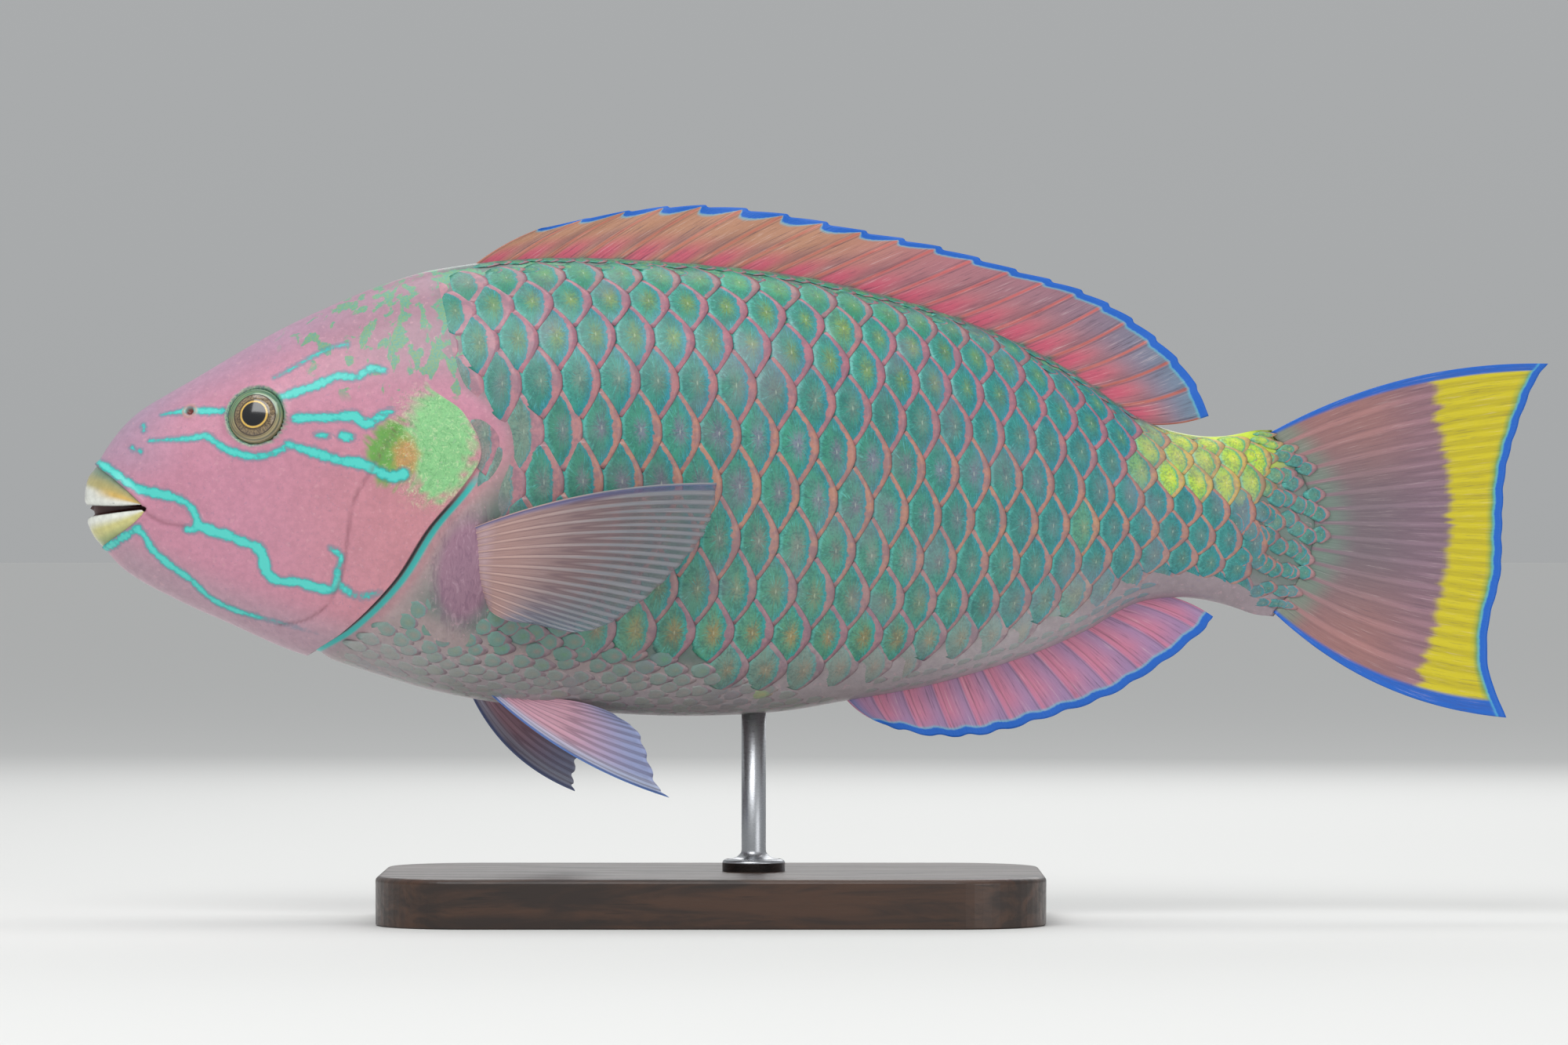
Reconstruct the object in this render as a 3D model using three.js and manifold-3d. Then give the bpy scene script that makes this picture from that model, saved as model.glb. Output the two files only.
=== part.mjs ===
// A parrotfish in adult male colours, life size, swimming level to the left above a plain display stand.
// Millimetres, +Z up. The head points along -X and the fish's left side faces -Y.
// The origin is on the floor, under the middle of the fish's length.
//
// Side-view places are written as [s, h]: s runs back from the tip of the beak, and h is the height
// above the fish's long axis, which is a level line through the middle of the tail.

import * as THREE from "three";
import { mergeVertices } from "three/addons/utils/BufferGeometryUtils.js";
import Module from "manifold-3d";

const wasm = await Module();
wasm.setup();

// Driving dimensions.
const TOTAL_LENGTH = 420; // beak tip to the upper tip of the tail fin
const AXIS_HEIGHT = 120; // from the floor up to the long axis
const GAP = 0.3; // clearance between neighbouring pieces
const REACH = 90; // half size of the blocks that cut the body apart

// The body's outline and width along its length: [s, back, belly, half width].
const STATIONS = [
  [0, -1.5, -2.5, 0.6],
  [1, 6.3, -6.3, 4.6],
  [3.2, 9.9, -10.4, 7.2],
  [6.5, 15.5, -14.4, 9.6],
  [11, 21.4, -19.1, 11.6],
  [16, 26, -22.6, 13],
  [24, 31, -26.9, 14.9],
  [34, 36.8, -31.9, 16.9],
  [50, 46.2, -38.3, 19.6],
  [67, 54.7, -44.1, 22.2],
  [84, 61.7, -49.5, 24.7],
  [101, 66.7, -54.4, 26.8],
  [122, 69.6, -58.2, 28.5],
  [146, 70.2, -60.4, 29.5],
  [173, 68.6, -61.5, 29.4],
  [199, 65.9, -60.3, 28],
  [218, 62.3, -57.2, 26.1],
  [244, 55.2, -52.3, 22.9],
  [270, 44.8, -44.4, 18.6],
  [287, 35.2, -37.2, 15.6],
  [301, 25.2, -29.4, 13.1],
  [313, 20.3, -27.5, 11],
  [325, 18.9, -29, 9.2],
  [338, 21.3, -33.3, 6.8],
  [350, 24.8, -37.8, 4],
  [362, 28.2, -42.2, 2.2],
];

// Where the body is parted, in side view.
const GILL_MARGIN = [
  [90, 74],
  [95, 50],
  [100, 33],
  [109.5, 25.5],
  [114.9, 13.7],
  [110, 4.5],
  [99.6, -7.8],
  [89.3, -23.3],
  [75, -37],
  [60, -46],
  [52, -56],
];
const GILL_COVER_FRONT = [
  [99.5, 31],
  [90, 30],
  [84, 22],
  [80, 8],
  [77, -9],
  [74.5, -22],
  [68, -30.5],
  [61, -36],
  [59.5, -44],
];
const GILL_COVER_DEPTH = 3; // thickness under the skin line
const GILL_COVER_STAND = 0.8; // how far its free edge stands proud of the trunk
const STALK_FRONT = 303; // where the trunk gives way to the tail stalk
const STALK_END = 358; // furthest back that the fleshy tail base reaches
const STALK_END_CURVE = { height: -6.5, half: 29, set_back: 15.5 };

// The open mouth: two beak plates with a slit between them.
const UPPER_BEAK = [
  [-4, -0.9],
  [-4, 16],
  [3.4, 12.6],
  [13, 3.9],
  [17.6, -0.7],
  [12.6, -1.3],
];
const LOWER_BEAK = [
  [-4, -6.6],
  [2.7, -4.2],
  [7, -3.3],
  [12.6, -2.4],
  [17.8, -2.3],
  [15.2, -6.8],
  [6.4, -13],
  [3, -18],
  [-4, -18],
];
const MOUTH_SLIT = [
  [-4, -1.2],
  [12.6, -1.5],
  [19, -1.5],
  [19, -2.1],
  [12.6, -2.2],
  [7, -3],
  [2.7, -3.9],
  [-4, -6.3],
];
const BEAK_INSET = 0.35;
const LIP_RADIUS = 1.5;
const UPPER_LIP = [
  [18.6, -0.6],
  [13.6, 4.4],
  [8.6, 8.7],
  [4.4, 12.4],
];
const LOWER_LIP = [
  [18.8, -3.2],
  [15.9, -7.4],
  [11, -10.8],
  [6.9, -13.9],
];

// Eye and nostril, placed in side view on the head's surface.
const EYE = { at: [50.2, 24.4], radius: 7.7, bulge: 2.1, sunk: 4.5 };
const ORBIT_RIM = { radius: 8.6, width: 1.1 };
const NOSTRIL = { at: [31, 25.8], radius: 1 };

// Scales: six-sided plates in staggered rows, low in front and raised along the rear edge.
const SCALES = {
  rows: 13, // from the back's ridge down to the keel of the belly
  front: 48, // s of the first plates
  long: 11.4, // length of a plate on the flank
  short: 7.2, // and at the end of the tail stalk
  narrowing: [190, 350], // s range over which the plates shorten
  raised: 0.75, // height of the rear edge
  step: 0.14, // share of a plate's length that its rear edge takes to drop again
  corner: 0.31, // half height of a plate's front and rear edges, in rows
};

// Stand.
const BASE = { middle: -30, length: 190, width: 112, height: 14, corner: 26, edge: 1.5 };
const ROD = { s: 192, radius: 3.5, collar_radius: 9, collar_height: 6, sunk: 6 };

// Materials, one for each finish.
const SKIN = { teal: 0x5f9a90, pink: 0xbb8ca2, green: 0x94c793 };
const finish = (color, roughness, metalness = 0) =>
  new THREE.MeshStandardMaterial({ color, roughness, metalness });
const headSkin = finish(SKIN.pink, 0.45);
const coverSkin = finish(SKIN.green, 0.45);
const scaleSkin = finish(SKIN.teal, 0.4);
const beakEnamel = finish(0xdcdcb4, 0.3);
const eyeGloss = finish(0x20262a, 0.1);
const medianFinSkin = finish(0xc0798a, 0.5);
const tailFinSkin = finish(0xb8a240, 0.5);
const pairedFinSkin = finish(0xae8f96, 0.5);
const standWood = finish(0x4a3020, 0.45);
const standSteel = finish(0xb8bcc0, 0.3, 1);

// A smooth curve through table rows, read at x: cubic pieces with slopes from the neighbours.
function smooth(xs, ys, x) {
  const last = xs.length - 1;
  if (x <= xs[0]) return ys[0];
  if (x >= xs[last]) return ys[last];
  let i = 0;
  while (x > xs[i + 1]) i++;
  const slope = (k) => {
    const a = Math.max(0, k - 1);
    const b = Math.min(last, k + 1);
    return (ys[b] - ys[a]) / (xs[b] - xs[a]);
  };
  const width = xs[i + 1] - xs[i];
  const t = (x - xs[i]) / width;
  const t2 = t * t;
  const t3 = t2 * t;
  return (
    (2 * t3 - 3 * t2 + 1) * ys[i] +
    (t3 - 2 * t2 + t) * width * slope(i) +
    (3 * t2 - 2 * t3) * ys[i + 1] +
    (t3 - t2) * width * slope(i + 1)
  );
}

// The outline reads its table by the root of s, so that the snout comes out round.
const rootOf = (s) => Math.sqrt(Math.max(0, s));
const stationRoots = STATIONS.map(([s]) => rootOf(s));
const column = (k) => {
  const values = STATIONS.map((row) => row[k]);
  return (s) => smooth(stationRoots, values, rootOf(s));
};
const back = column(1);
const belly = column(2);
const halfWidth = column(3);

const blend = (a, b, t) => a + (b - a) * t;
const clamp01 = (t) => Math.min(1, Math.max(0, t));

// A point of the body's skin: angle 0 is the ridge of the back, PI the keel, and between them
// lies the left side. The section is an oval, a little leaner above than below.
function skinPoint(s, angle, grow = 0) {
  const top = back(s) + grow;
  const bottom = belly(s) - grow;
  const c = Math.cos(angle);
  const across = Math.sin(angle);
  const fullness = 1.02 + 0.1 * c;
  const y = (halfWidth(s) + grow) * Math.abs(across) ** fullness * Math.sign(across);
  return new THREE.Vector3(s, -y, (top + bottom) / 2 + ((top - bottom) / 2) * c);
}

// The outward normal of the skin there.
function skinNormal(s, angle) {
  const ds = 0.05;
  const da = 0.01;
  const along = skinPoint(s + ds, angle).sub(skinPoint(s - ds, angle));
  const round = skinPoint(s, angle + da).sub(skinPoint(s, angle - da));
  return round.cross(along).normalize();
}

// The angle at which the skin of the left side passes height h.
function angleAt(s, h) {
  const middle = (back(s) + belly(s)) / 2;
  const half = (back(s) - belly(s)) / 2;
  return Math.acos(Math.min(0.999, Math.max(-0.999, (h - middle) / half)));
}
const sideSkin = ([s, h]) => skinPoint(s, angleAt(s, h));

// Half the body's width at a side-view place.
const widthAt = (s, h) => -sideSkin([s, h]).y;

// Turns lists of points and triangles into a geometry.
function geometryOf(points, triangles) {
  const geometry = new THREE.BufferGeometry();
  geometry.setAttribute(
    "position",
    new THREE.Float32BufferAttribute(points.flatMap((p) => [p.x, p.y, p.z]), 3),
  );
  geometry.setIndex(triangles.flat());
  return geometry;
}

// A closed geometry as a solid, for joining and cutting.
function solidOf(geometry) {
  const bare = geometry.clone();
  bare.deleteAttribute("normal");
  bare.deleteAttribute("uv");
  const merged = mergeVertices(bare, 1e-4);
  const corners = new Uint32Array(merged.index.array);
  const build = () =>
    new wasm.Manifold(
      new wasm.Mesh({
        numProp: 3,
        vertProperties: merged.attributes.position.array,
        triVerts: corners,
      }),
    );
  const made = build();
  if (made.volume() > 0) return made;
  for (let i = 0; i < corners.length; i += 3)
    [corners[i], corners[i + 1]] = [corners[i + 1], corners[i]];
  return build();
}

// The largest closed surface of a solid.
function largest(solid) {
  const pieces = solid.decompose();
  pieces.sort((a, b) => b.volume() - a.volume());
  return pieces[0];
}

// A solid back as a named mesh.
function meshOf(name, solid, material) {
  const made = largest(solid).getMesh();
  const geometry = new THREE.BufferGeometry();
  geometry.setAttribute("position", new THREE.BufferAttribute(made.vertProperties, 3));
  geometry.setIndex(new THREE.BufferAttribute(made.triVerts, 1));
  geometry.computeVertexNormals();
  const mesh = new THREE.Mesh(geometry, material);
  mesh.name = name;
  return mesh;
}

const splinePoints = (controls, count) =>
  new THREE.SplineCurve(controls.map(([s, h]) => new THREE.Vector2(s, h))).getPoints(count);

// A straight block across the fish whose side view is the given loop, from depth y0 to y1.
function block(loop, y0 = -REACH, y1 = REACH) {
  const points = loop.map((p) => (Array.isArray(p) ? new THREE.Vector2(...p) : p));
  const shape = new THREE.Shape(points);
  const geometry = new THREE.ExtrudeGeometry(shape, { depth: y1 - y0, bevelEnabled: false });
  geometry.rotateX(Math.PI / 2);
  geometry.translate(0, y1, 0);
  return solidOf(geometry);
}

// A polyline moved sideways: a positive distance moves a line that runs down the page to the rear.
function moved(line, distance) {
  return line.map((p, i) => {
    const before = line[Math.max(0, i - 1)];
    const after = line[Math.min(line.length - 1, i + 1)];
    const way = after.clone().sub(before).normalize();
    return new THREE.Vector2(p.x - way.y * distance, p.y + way.x * distance);
  });
}

// The whole body as one plain closed loft. A coarser one has fewer, longer facets.
function plainBody(grow = 0, around = 32, coarse = 1) {
  const rings = [];
  const nose = new THREE.Vector3(-grow, 0, (back(0) + belly(0)) / 2);
  for (let s = 0.3; s < 362; s += coarse * (0.5 + Math.min(11, s * 0.19))) rings.push(s);
  rings.push(362);
  const points = [nose];
  for (const s of rings)
    for (let a = 0; a < around; a++)
      points.push(skinPoint(s, (a / around) * 2 * Math.PI, grow));
  const end = points.length;
  points.push(new THREE.Vector3(362, 0, (back(362) + belly(362)) / 2));
  const triangles = [];
  const at = (ring, a) => 1 + ring * around + (a % around);
  for (let a = 0; a < around; a++) {
    triangles.push([0, at(0, a), at(0, a + 1)]);
    for (let r = 0; r + 1 < rings.length; r++)
      triangles.push(
        [at(r, a), at(r + 1, a), at(r + 1, a + 1)],
        [at(r, a), at(r + 1, a + 1), at(r, a + 1)],
      );
    triangles.push([end, at(rings.length - 1, a + 1), at(rings.length - 1, a)]);
  }
  return solidOf(geometryOf(points, triangles));
}

// The angles of evenly spaced rows of scales round the section at s, by length of skin.
function rowAngles(s) {
  const fine = 90;
  const lengths = [0];
  for (let i = 1; i <= fine; i++) {
    const chord = skinPoint(s, (i / fine) * Math.PI).distanceTo(skinPoint(s, ((i - 1) / fine) * Math.PI));
    lengths.push(lengths[i - 1] + chord);
  }
  const angles = lengths.map((_, i) => (i / fine) * Math.PI);
  return (row) => {
    const turns = Math.floor(row / SCALES.rows);
    const share = row / SCALES.rows - turns;
    const mirroredSide = ((turns % 2) + 2) % 2 === 1;
    const length = (mirroredSide ? 1 - share : share) * lengths[fine];
    const angle = smooth(lengths, angles, length);
    return turns * Math.PI + (mirroredSide ? Math.PI - angle : angle);
  };
}

// The scaly stretch of the body as one closed surface: a net of six-sided plates.
function scalyBody(grow = 0) {
  const { rows, front, long, short, narrowing, raised, step, corner } = SCALES;
  const around = rows * 2;
  const shorter = (s) => clamp01((s - narrowing[0]) / (narrowing[1] - narrowing[0]));
  const edges = [front];
  while (edges.at(-1) < 362) edges.push(edges.at(-1) + blend(long, short, shorter(edges.at(-1))));
  edges.push(edges.at(-1) + short);
  const columns = edges.length - 2;
  const place = (c, row, lift) => {
    const whole = Math.floor(c);
    const s = blend(edges[whole], edges[Math.min(whole + 1, columns + 1)], c - whole);
    const angle = rowAngles(s)(row);
    const crest = 0.5 * Math.cos(angle) ** 8;
    return skinPoint(s, angle, grow).addScaledVector(skinNormal(s, angle), lift + crest);
  };
  const offset = (r) => (r % 2 ? 0.5 : 0);
  const points = [];
  const ids = { upper: [], lower: [], raisedUpper: [], raisedLower: [] };
  const add = (point) => points.push(point) - 1;
  for (let r = 0; r < around; r++) {
    for (const list of Object.values(ids)) list.push([]);
    for (let k = 0; k <= columns; k++) {
      const c = k + offset(r);
      ids.upper[r].push(add(place(c, r - corner, 0)));
      ids.lower[r].push(add(place(c, r + corner, 0)));
      if (k === 0) continue;
      ids.raisedUpper[r].push(add(place(c - step, r - corner * 0.9, raised)));
      ids.raisedLower[r].push(add(place(c - step, r + corner * 0.9, raised)));
    }
  }
  const triangles = [];
  for (let r = 0; r < around; r++)
    for (let k = 0; k < columns; k++) {
      const above = (r + around - 1) % around;
      const below = (r + 1) % around;
      const beside = k + (r % 2);
      const top = ids.lower[above][beside];
      const low = ids.upper[below][beside];
      const [frontUp, frontLow] = [ids.upper[r][k], ids.lower[r][k]];
      const [rearUp, rearLow] = [ids.upper[r][k + 1], ids.lower[r][k + 1]];
      const [edgeUp, edgeLow] = [ids.raisedUpper[r][k], ids.raisedLower[r][k]];
      triangles.push(
        [frontUp, top, edgeUp],
        [frontUp, edgeUp, edgeLow],
        [frontUp, edgeLow, frontLow],
        [frontLow, edgeLow, low],
        [top, rearUp, edgeUp],
        [edgeUp, rearUp, rearLow],
        [edgeUp, rearLow, edgeLow],
        [edgeLow, rearLow, low],
      );
    }
  closeEnds(points, triangles);
  return solidOf(geometryOf(points, triangles));
}

// Closes the front and rear openings of a sleeve with a fan of triangles each.
function closeEnds(points, triangles) {
  const directed = new Set(triangles.flatMap(([a, b, c]) => [`${a} ${b}`, `${b} ${c}`, `${c} ${a}`]));
  const open = [...directed]
    .map((edge) => edge.split(" ").map(Number))
    .filter(([a, b]) => !directed.has(`${b} ${a}`));
  const split = (SCALES.front + 362) / 2;
  const rear = Math.max(...points.map((p) => p.x));
  for (const [inFront, s] of [
    [true, SCALES.front],
    [false, rear],
  ]) {
    const hub = points.length;
    points.push(new THREE.Vector3(s, 0, (back(s) + belly(s)) / 2));
    for (const [a, b] of open)
      if (points[a].x < split === inFront) triangles.push([b, a, hub]);
  }
}

// A fin: a thin closed sheet whose rays stand up as ridges, with its root inside the body.
// root(u) and tip(u) give a ray's ends in side view, for u from 0 at the leading ray to 1 at the last.
// bow(u) is how far a ray's middle swings sideways, depth(u, v) the sheet's y, and v runs root to tip.
function finSolid({ rays, rows, root, tip, bow, depth, ray, web, edge, notch }) {
  const columns = rays * 2 - 1;
  const points = [];
  const grid = [[], []];
  for (let i = 0; i < columns; i++) {
    const u = i / (columns - 1);
    const isRay = i % 2 === 0;
    const from = new THREE.Vector2(...root(u));
    const to = new THREE.Vector2(...tip(u));
    const way = to.clone().sub(from);
    const sideways = new THREE.Vector2(-way.y, way.x).normalize();
    const reach = isRay ? 1 : 1 - notch / way.length();
    for (let j = 0; j <= rows; j++) {
      const v = (j / rows) * reach;
      const swing = bow(u) * 4 * v * (1 - v);
      const x = from.x + way.x * v + sideways.x * swing;
      const z = from.y + way.y * v + sideways.y * swing;
      const thick = blend(isRay ? ray : web, edge, clamp01(v * 1.1)) / 2;
      const rim = i === 0 || i === columns - 1 || j === 0 || j === rows;
      const y = depth(u, v, x, z);
      grid[0].push(points.length);
      points.push(new THREE.Vector3(x, y - (rim ? 0 : thick), z));
      if (rim) grid[1].push(points.length - 1);
      else {
        grid[1].push(points.length);
        points.push(new THREE.Vector3(x, y + thick, z));
      }
    }
  }
  const triangles = [];
  const at = (face, i, j) => grid[face][i * (rows + 1) + j];
  for (let i = 0; i + 1 < columns; i++)
    for (let j = 0; j < rows; j++)
      for (const face of [0, 1]) {
        const [a, b, c, d] = [at(face, i, j), at(face, i + 1, j), at(face, i + 1, j + 1), at(face, i, j + 1)];
        const pair = i % 2 ? [[a, b, c], [a, c, d]] : [[a, b, d], [b, c, d]];
        triangles.push(...(face ? pair : pair.map((t) => t.reverse())));
      }
  return solidOf(geometryOf(points, triangles));
}

// A curve through a few places, read from 0 to 1.
function along(controls) {
  const xs = controls.map(([u]) => u);
  const ss = controls.map(([, s]) => s);
  const hs = controls.map(([, , h]) => h);
  return (u) => [smooth(xs, ss, u), smooth(xs, hs, u)];
}

// The fin on the back: spines in front and soft rays behind, all leaning far back.
function dorsalFin() {
  const rootAlong = (u) => smooth([0, 0.25, 0.5, 0.75, 1], [109, 161, 216, 266, 301], u);
  return finSolid({
    rays: 21,
    rows: 6,
    root: (u) => [rootAlong(u), back(rootAlong(u)) - 4],
    tip: along([
      [0, 131, 78.5],
      [0.1, 156, 83.6],
      [0.2, 178, 85.2],
      [0.3, 201.5, 82.6],
      [0.4, 224, 77.8],
      [0.5, 245.5, 73.2],
      [0.6, 267, 66.8],
      [0.7, 286, 60.8],
      [0.8, 300.6, 52.7],
      [0.9, 313.5, 41.4],
      [0.96, 320, 32],
      [1, 322.6, 24.6],
    ]),
    bow: (u) => blend(1.2, -1.5, u),
    depth: (u, v) => 1.2 * Math.sin(u * 9) * v,
    ray: 1.9,
    web: 1,
    edge: 0.6,
    notch: 1.6,
  });
}

// The fin behind the vent.
function analFin() {
  const rootAlong = (u) => smooth([0, 0.25, 0.5, 0.75, 1], [217, 243, 264, 286, 304], u);
  return finSolid({
    rays: 13,
    rows: 6,
    root: (u) => [rootAlong(u), belly(rootAlong(u)) + 4],
    tip: along([
      [0, 228, -63.4],
      [0.1, 234, -65.6],
      [0.2, 245, -67.5],
      [0.35, 260, -66.6],
      [0.5, 277, -61.9],
      [0.65, 294.5, -55.6],
      [0.8, 310, -46],
      [0.92, 321, -37],
      [1, 323.8, -33],
    ]),
    bow: (u) => blend(-1, 1.5, u),
    depth: (u, v) => -0.9 * Math.sin(u * 8) * v,
    ray: 1.9,
    web: 1,
    edge: 0.6,
    notch: 1.4,
  });
}

// How far back the fleshy tail base reaches at height h.
const stalkEnd = (h) =>
  STALK_END - STALK_END_CURVE.set_back * ((h - STALK_END_CURVE.height) / STALK_END_CURVE.half) ** 2;
function stalkEndLine(clearance) {
  const line = [];
  for (let h = 42; h >= -57; h -= 3) line.push([stalkEnd(h) + clearance, h]);
  return line;
}

// The tail fin, a fan with drawn-out corners, the upper one longer.
function tailFin() {
  const rootHeight = (u) => blend(19.8, -31.8, u);
  const raw = finSolid({
    rays: 17,
    rows: 9,
    root: (u) => [stalkEnd(rootHeight(u)) - 7, rootHeight(u)],
    tip: along([
      [0, TOTAL_LENGTH, 39.6],
      [0.07, 416.6, 35],
      [0.2, 411.5, 22],
      [0.35, 407.9, 8],
      [0.5, 407, -7],
      [0.65, 406.5, -21],
      [0.8, 403, -36],
      [0.91, 403.2, -49],
      [1, 408, -62],
    ]),
    bow: (u) => blend(5.6, -6.4, u ** 0.9) * Math.abs(2 * u - 1) ** 1.5,
    depth: (u, v) => 2.2 * Math.sin(v * 2.2) * Math.sin(u * 3.1),
    ray: 3,
    web: 2.2,
    edge: 0.6,
    notch: 0.9,
  });
  return raw.intersect(block([...stalkEndLine(GAP), [500, -REACH], [500, REACH]]));
}

// A fin on the left flank, spread back and standing a little off the body.
function pectoralFin() {
  const rootLine = along([
    [0, 110.5, -8.2],
    [0.5, 111.5, -19],
    [1, 116.5, -30.5],
  ]);
  const lifted = (v) => -1.6 + 3.6 * clamp01(v / 0.12) + 12.5 * v + 1.5 * Math.sin(Math.PI * v);
  return finSolid({
    rays: 13,
    rows: 7,
    root: rootLine,
    tip: along([
      [0, 181.8, 5.2],
      [0.1, 181, -2],
      [0.25, 177.5, -10.5],
      [0.4, 170.5, -19],
      [0.55, 161, -28],
      [0.7, 151.5, -34.5],
      [0.85, 141.5, -37],
      [1, 130, -34],
    ]),
    bow: (u) => blend(3.6, -1.6, u),
    depth: (u, v, s, h) => -(widthAt(Math.min(s, 150), h) + lifted(v)),
    ray: 2,
    web: 1.2,
    edge: 0.6,
    notch: 0.8,
  });
}

// A fin under the breast: a spine and soft rays, swung down and back. side is -1 on the left, splay is
// how far its tip swings outward, and bulge how far its leading edge bows forward.
function pelvicFin({ rootFrom, rootTo, tips, side, splay, bulge }) {
  const rootDepth = 7;
  return finSolid({
    rays: 7,
    rows: 6,
    root: along([
      [0, ...rootFrom],
      [1, ...rootTo],
    ]),
    tip: along(tips),
    bow: (u) => blend(-bulge, 1.5, u),
    depth: (u, v) => side * (rootDepth + v * splay),
    ray: 1.8,
    web: 1,
    edge: 0.6,
    notch: 0.9,
  });
}
const LEFT_PELVIC = {
  rootFrom: [115.5, -54],
  rootTo: [129, -56.5],
  tips: [
    [0, 168, -84.4],
    [0.2, 164.8, -81],
    [0.45, 162, -73],
    [0.7, 159, -65.5],
    [1, 152, -60.4],
  ],
  side: -1,
  splay: 9,
  bulge: 3.6,
};
const RIGHT_PELVIC = {
  rootFrom: [109.5, -53],
  rootTo: [123, -56],
  tips: [
    [0, 139.7, -84.4],
    [0.2, 139.4, -81],
    [0.45, 140.5, -75],
    [0.7, 143, -69],
    [1, 143, -63],
  ],
  side: 1,
  splay: 30,
  bulge: 4.6,
};

// Something round set on the head's left side, its axis along the skin's normal there.
function onSkin(profile, [s, h], segments, twist = 0) {
  const points = profile.map(([radius, height]) => new THREE.Vector2(radius, height));
  const geometry = new THREE.LatheGeometry(points, segments, twist);
  const angle = angleAt(s, h);
  const turn = new THREE.Quaternion().setFromUnitVectors(
    new THREE.Vector3(0, 1, 0),
    skinNormal(s, angle),
  );
  geometry.applyQuaternion(turn);
  const at = skinPoint(s, angle);
  geometry.translate(at.x, at.y, at.z);
  return solidOf(geometry);
}

// A low dome on a short drum.
function domeProfile({ radius, bulge, sunk }, clearance = 0) {
  const steps = 4;
  const wide = radius + clearance;
  const profile = [
    [0, -sunk - clearance],
    [wide, -sunk - clearance],
  ];
  for (let i = 0; i <= steps; i++) {
    const t = (i / steps) * (Math.PI / 2);
    profile.push([i === steps ? 0 : wide * Math.cos(t), bulge * Math.sin(t) + clearance]);
  }
  return profile;
}

const eyeSolid = () => onSkin(domeProfile(EYE), EYE.at, 20);
const eyeSocket = () => onSkin(domeProfile({ ...EYE, bulge: 9 }, GAP), EYE.at, 20);
function orbitRim() {
  const profile = [];
  for (let i = 0; i <= 5; i++) {
    const t = (i / 5) * 2 * Math.PI;
    profile.push([
      ORBIT_RIM.radius + ORBIT_RIM.width * Math.cos(t),
      ORBIT_RIM.width * 0.8 * Math.sin(t) - 0.1,
    ]);
  }
  return onSkin(profile, EYE.at, 20, Math.PI / 20);
}
const nostrilPit = () =>
  onSkin(
    domeProfile({ radius: NOSTRIL.radius, bulge: 2, sunk: 1.2 }),
    NOSTRIL.at,
    8,
  );

// A lip: a soft roll along the edge of a beak plate, from one corner of the mouth round to the other.
function lip(controls) {
  const left = controls.map((place) => {
    const p = sideSkin(place);
    return p.addScaledVector(new THREE.Vector3(0.25, 0.95, 0), 0.55);
  });
  const right = left.map((p) => new THREE.Vector3(p.x, -p.y, p.z)).reverse();
  const path = new THREE.CatmullRomCurve3([...left, ...right]);
  const section = new THREE.Shape();
  section.absellipse(0, 0, LIP_RADIUS, LIP_RADIUS * 0.9, 0, 2 * Math.PI);
  return solidOf(
    new THREE.ExtrudeGeometry(section, {
      extrudePath: path,
      steps: 17,
      curveSegments: 4,
      bevelEnabled: false,
    }),
  );
}

// The mirror image of a solid on the fish's other side.
const mirrored = (solid) => solid.mirror([0, 1, 0]);
const onBothSides = (solid) => solid.add(mirrored(solid));

const whole = plainBody();
const scaly = scalyBody();
const scalyWithGap = scalyBody(GAP);

// The line of the gill opening, and the loops in front of and behind it.
const margin = splinePoints(GILL_MARGIN, 26);
const marginBehind = moved(margin, GAP);
const inFrontOfGills = block([...margin, [-20, -56], [-20, 80], [90, 80]]);
const behindGills = (rear) => block([...marginBehind, [rear, -REACH], [rear, REACH], [90, REACH]]);

// The gill cover: a thin plate let into the head, free along its rear edge.
const coverFront = splinePoints(GILL_COVER_FRONT, 16);
const coverRear = margin.filter((p) => p.y < 30.5 && p.y > -44.5);
const coverLoop = (clearance) => [
  ...moved(coverFront, -clearance),
  ...coverRear.slice().reverse(),
];
function gillCover() {
  const plate = plainBody(GILL_COVER_STAND).intersect(block(coverLoop(0), -REACH, -3));
  return plate.subtract(plainBody(-GILL_COVER_DEPTH, 20, 1.7));
}
function gillPocket() {
  const rear = coverRear.map((p) => new THREE.Vector2(p.x + 5, p.y)).reverse();
  const loop = [...moved(coverFront, -GAP), ...rear];
  return block(loop, -REACH, -3 + GAP).subtract(plainBody(-GILL_COVER_DEPTH - GAP, 20, 1.7));
}

function headSolid() {
  const beakRoom = block(MOUTH_SLIT)
    .add(grownBlock(UPPER_BEAK))
    .add(grownBlock(LOWER_BEAK));
  return whole
    .intersect(inFrontOfGills)
    .add(lip(UPPER_LIP))
    .add(lip(LOWER_LIP))
    .add(onBothSides(orbitRim()))
    .subtract(beakRoom)
    .subtract(onBothSides(eyeSocket()))
    .subtract(onBothSides(nostrilPit()))
    .subtract(onBothSides(gillPocket()));
}

// A beak plate's room: its side view, grown by the gap away from the middle of the loop.
function grownBlock(loop) {
  const middle = loop.reduce(([a, b], [s, h]) => [a + s / loop.length, b + h / loop.length], [0, 0]);
  return block(
    loop.map(([s, h]) => {
      const away = new THREE.Vector2(s - middle[0], h - middle[1]);
      return new THREE.Vector2(s, h).addScaledVector(away.normalize(), GAP * 1.3);
    }),
  );
}

const beakSolid = (loop) => plainBody(-BEAK_INSET).intersect(block(loop)).subtract(block(MOUTH_SLIT));

function trunkSolid() {
  return scaly.intersect(behindGills(STALK_FRONT - GAP / 2));
}

function stalkSolid() {
  const front = STALK_FRONT + GAP / 2;
  return scaly.intersect(block([[front, 42], ...stalkEndLine(0), [front, -57]]));
}

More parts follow.
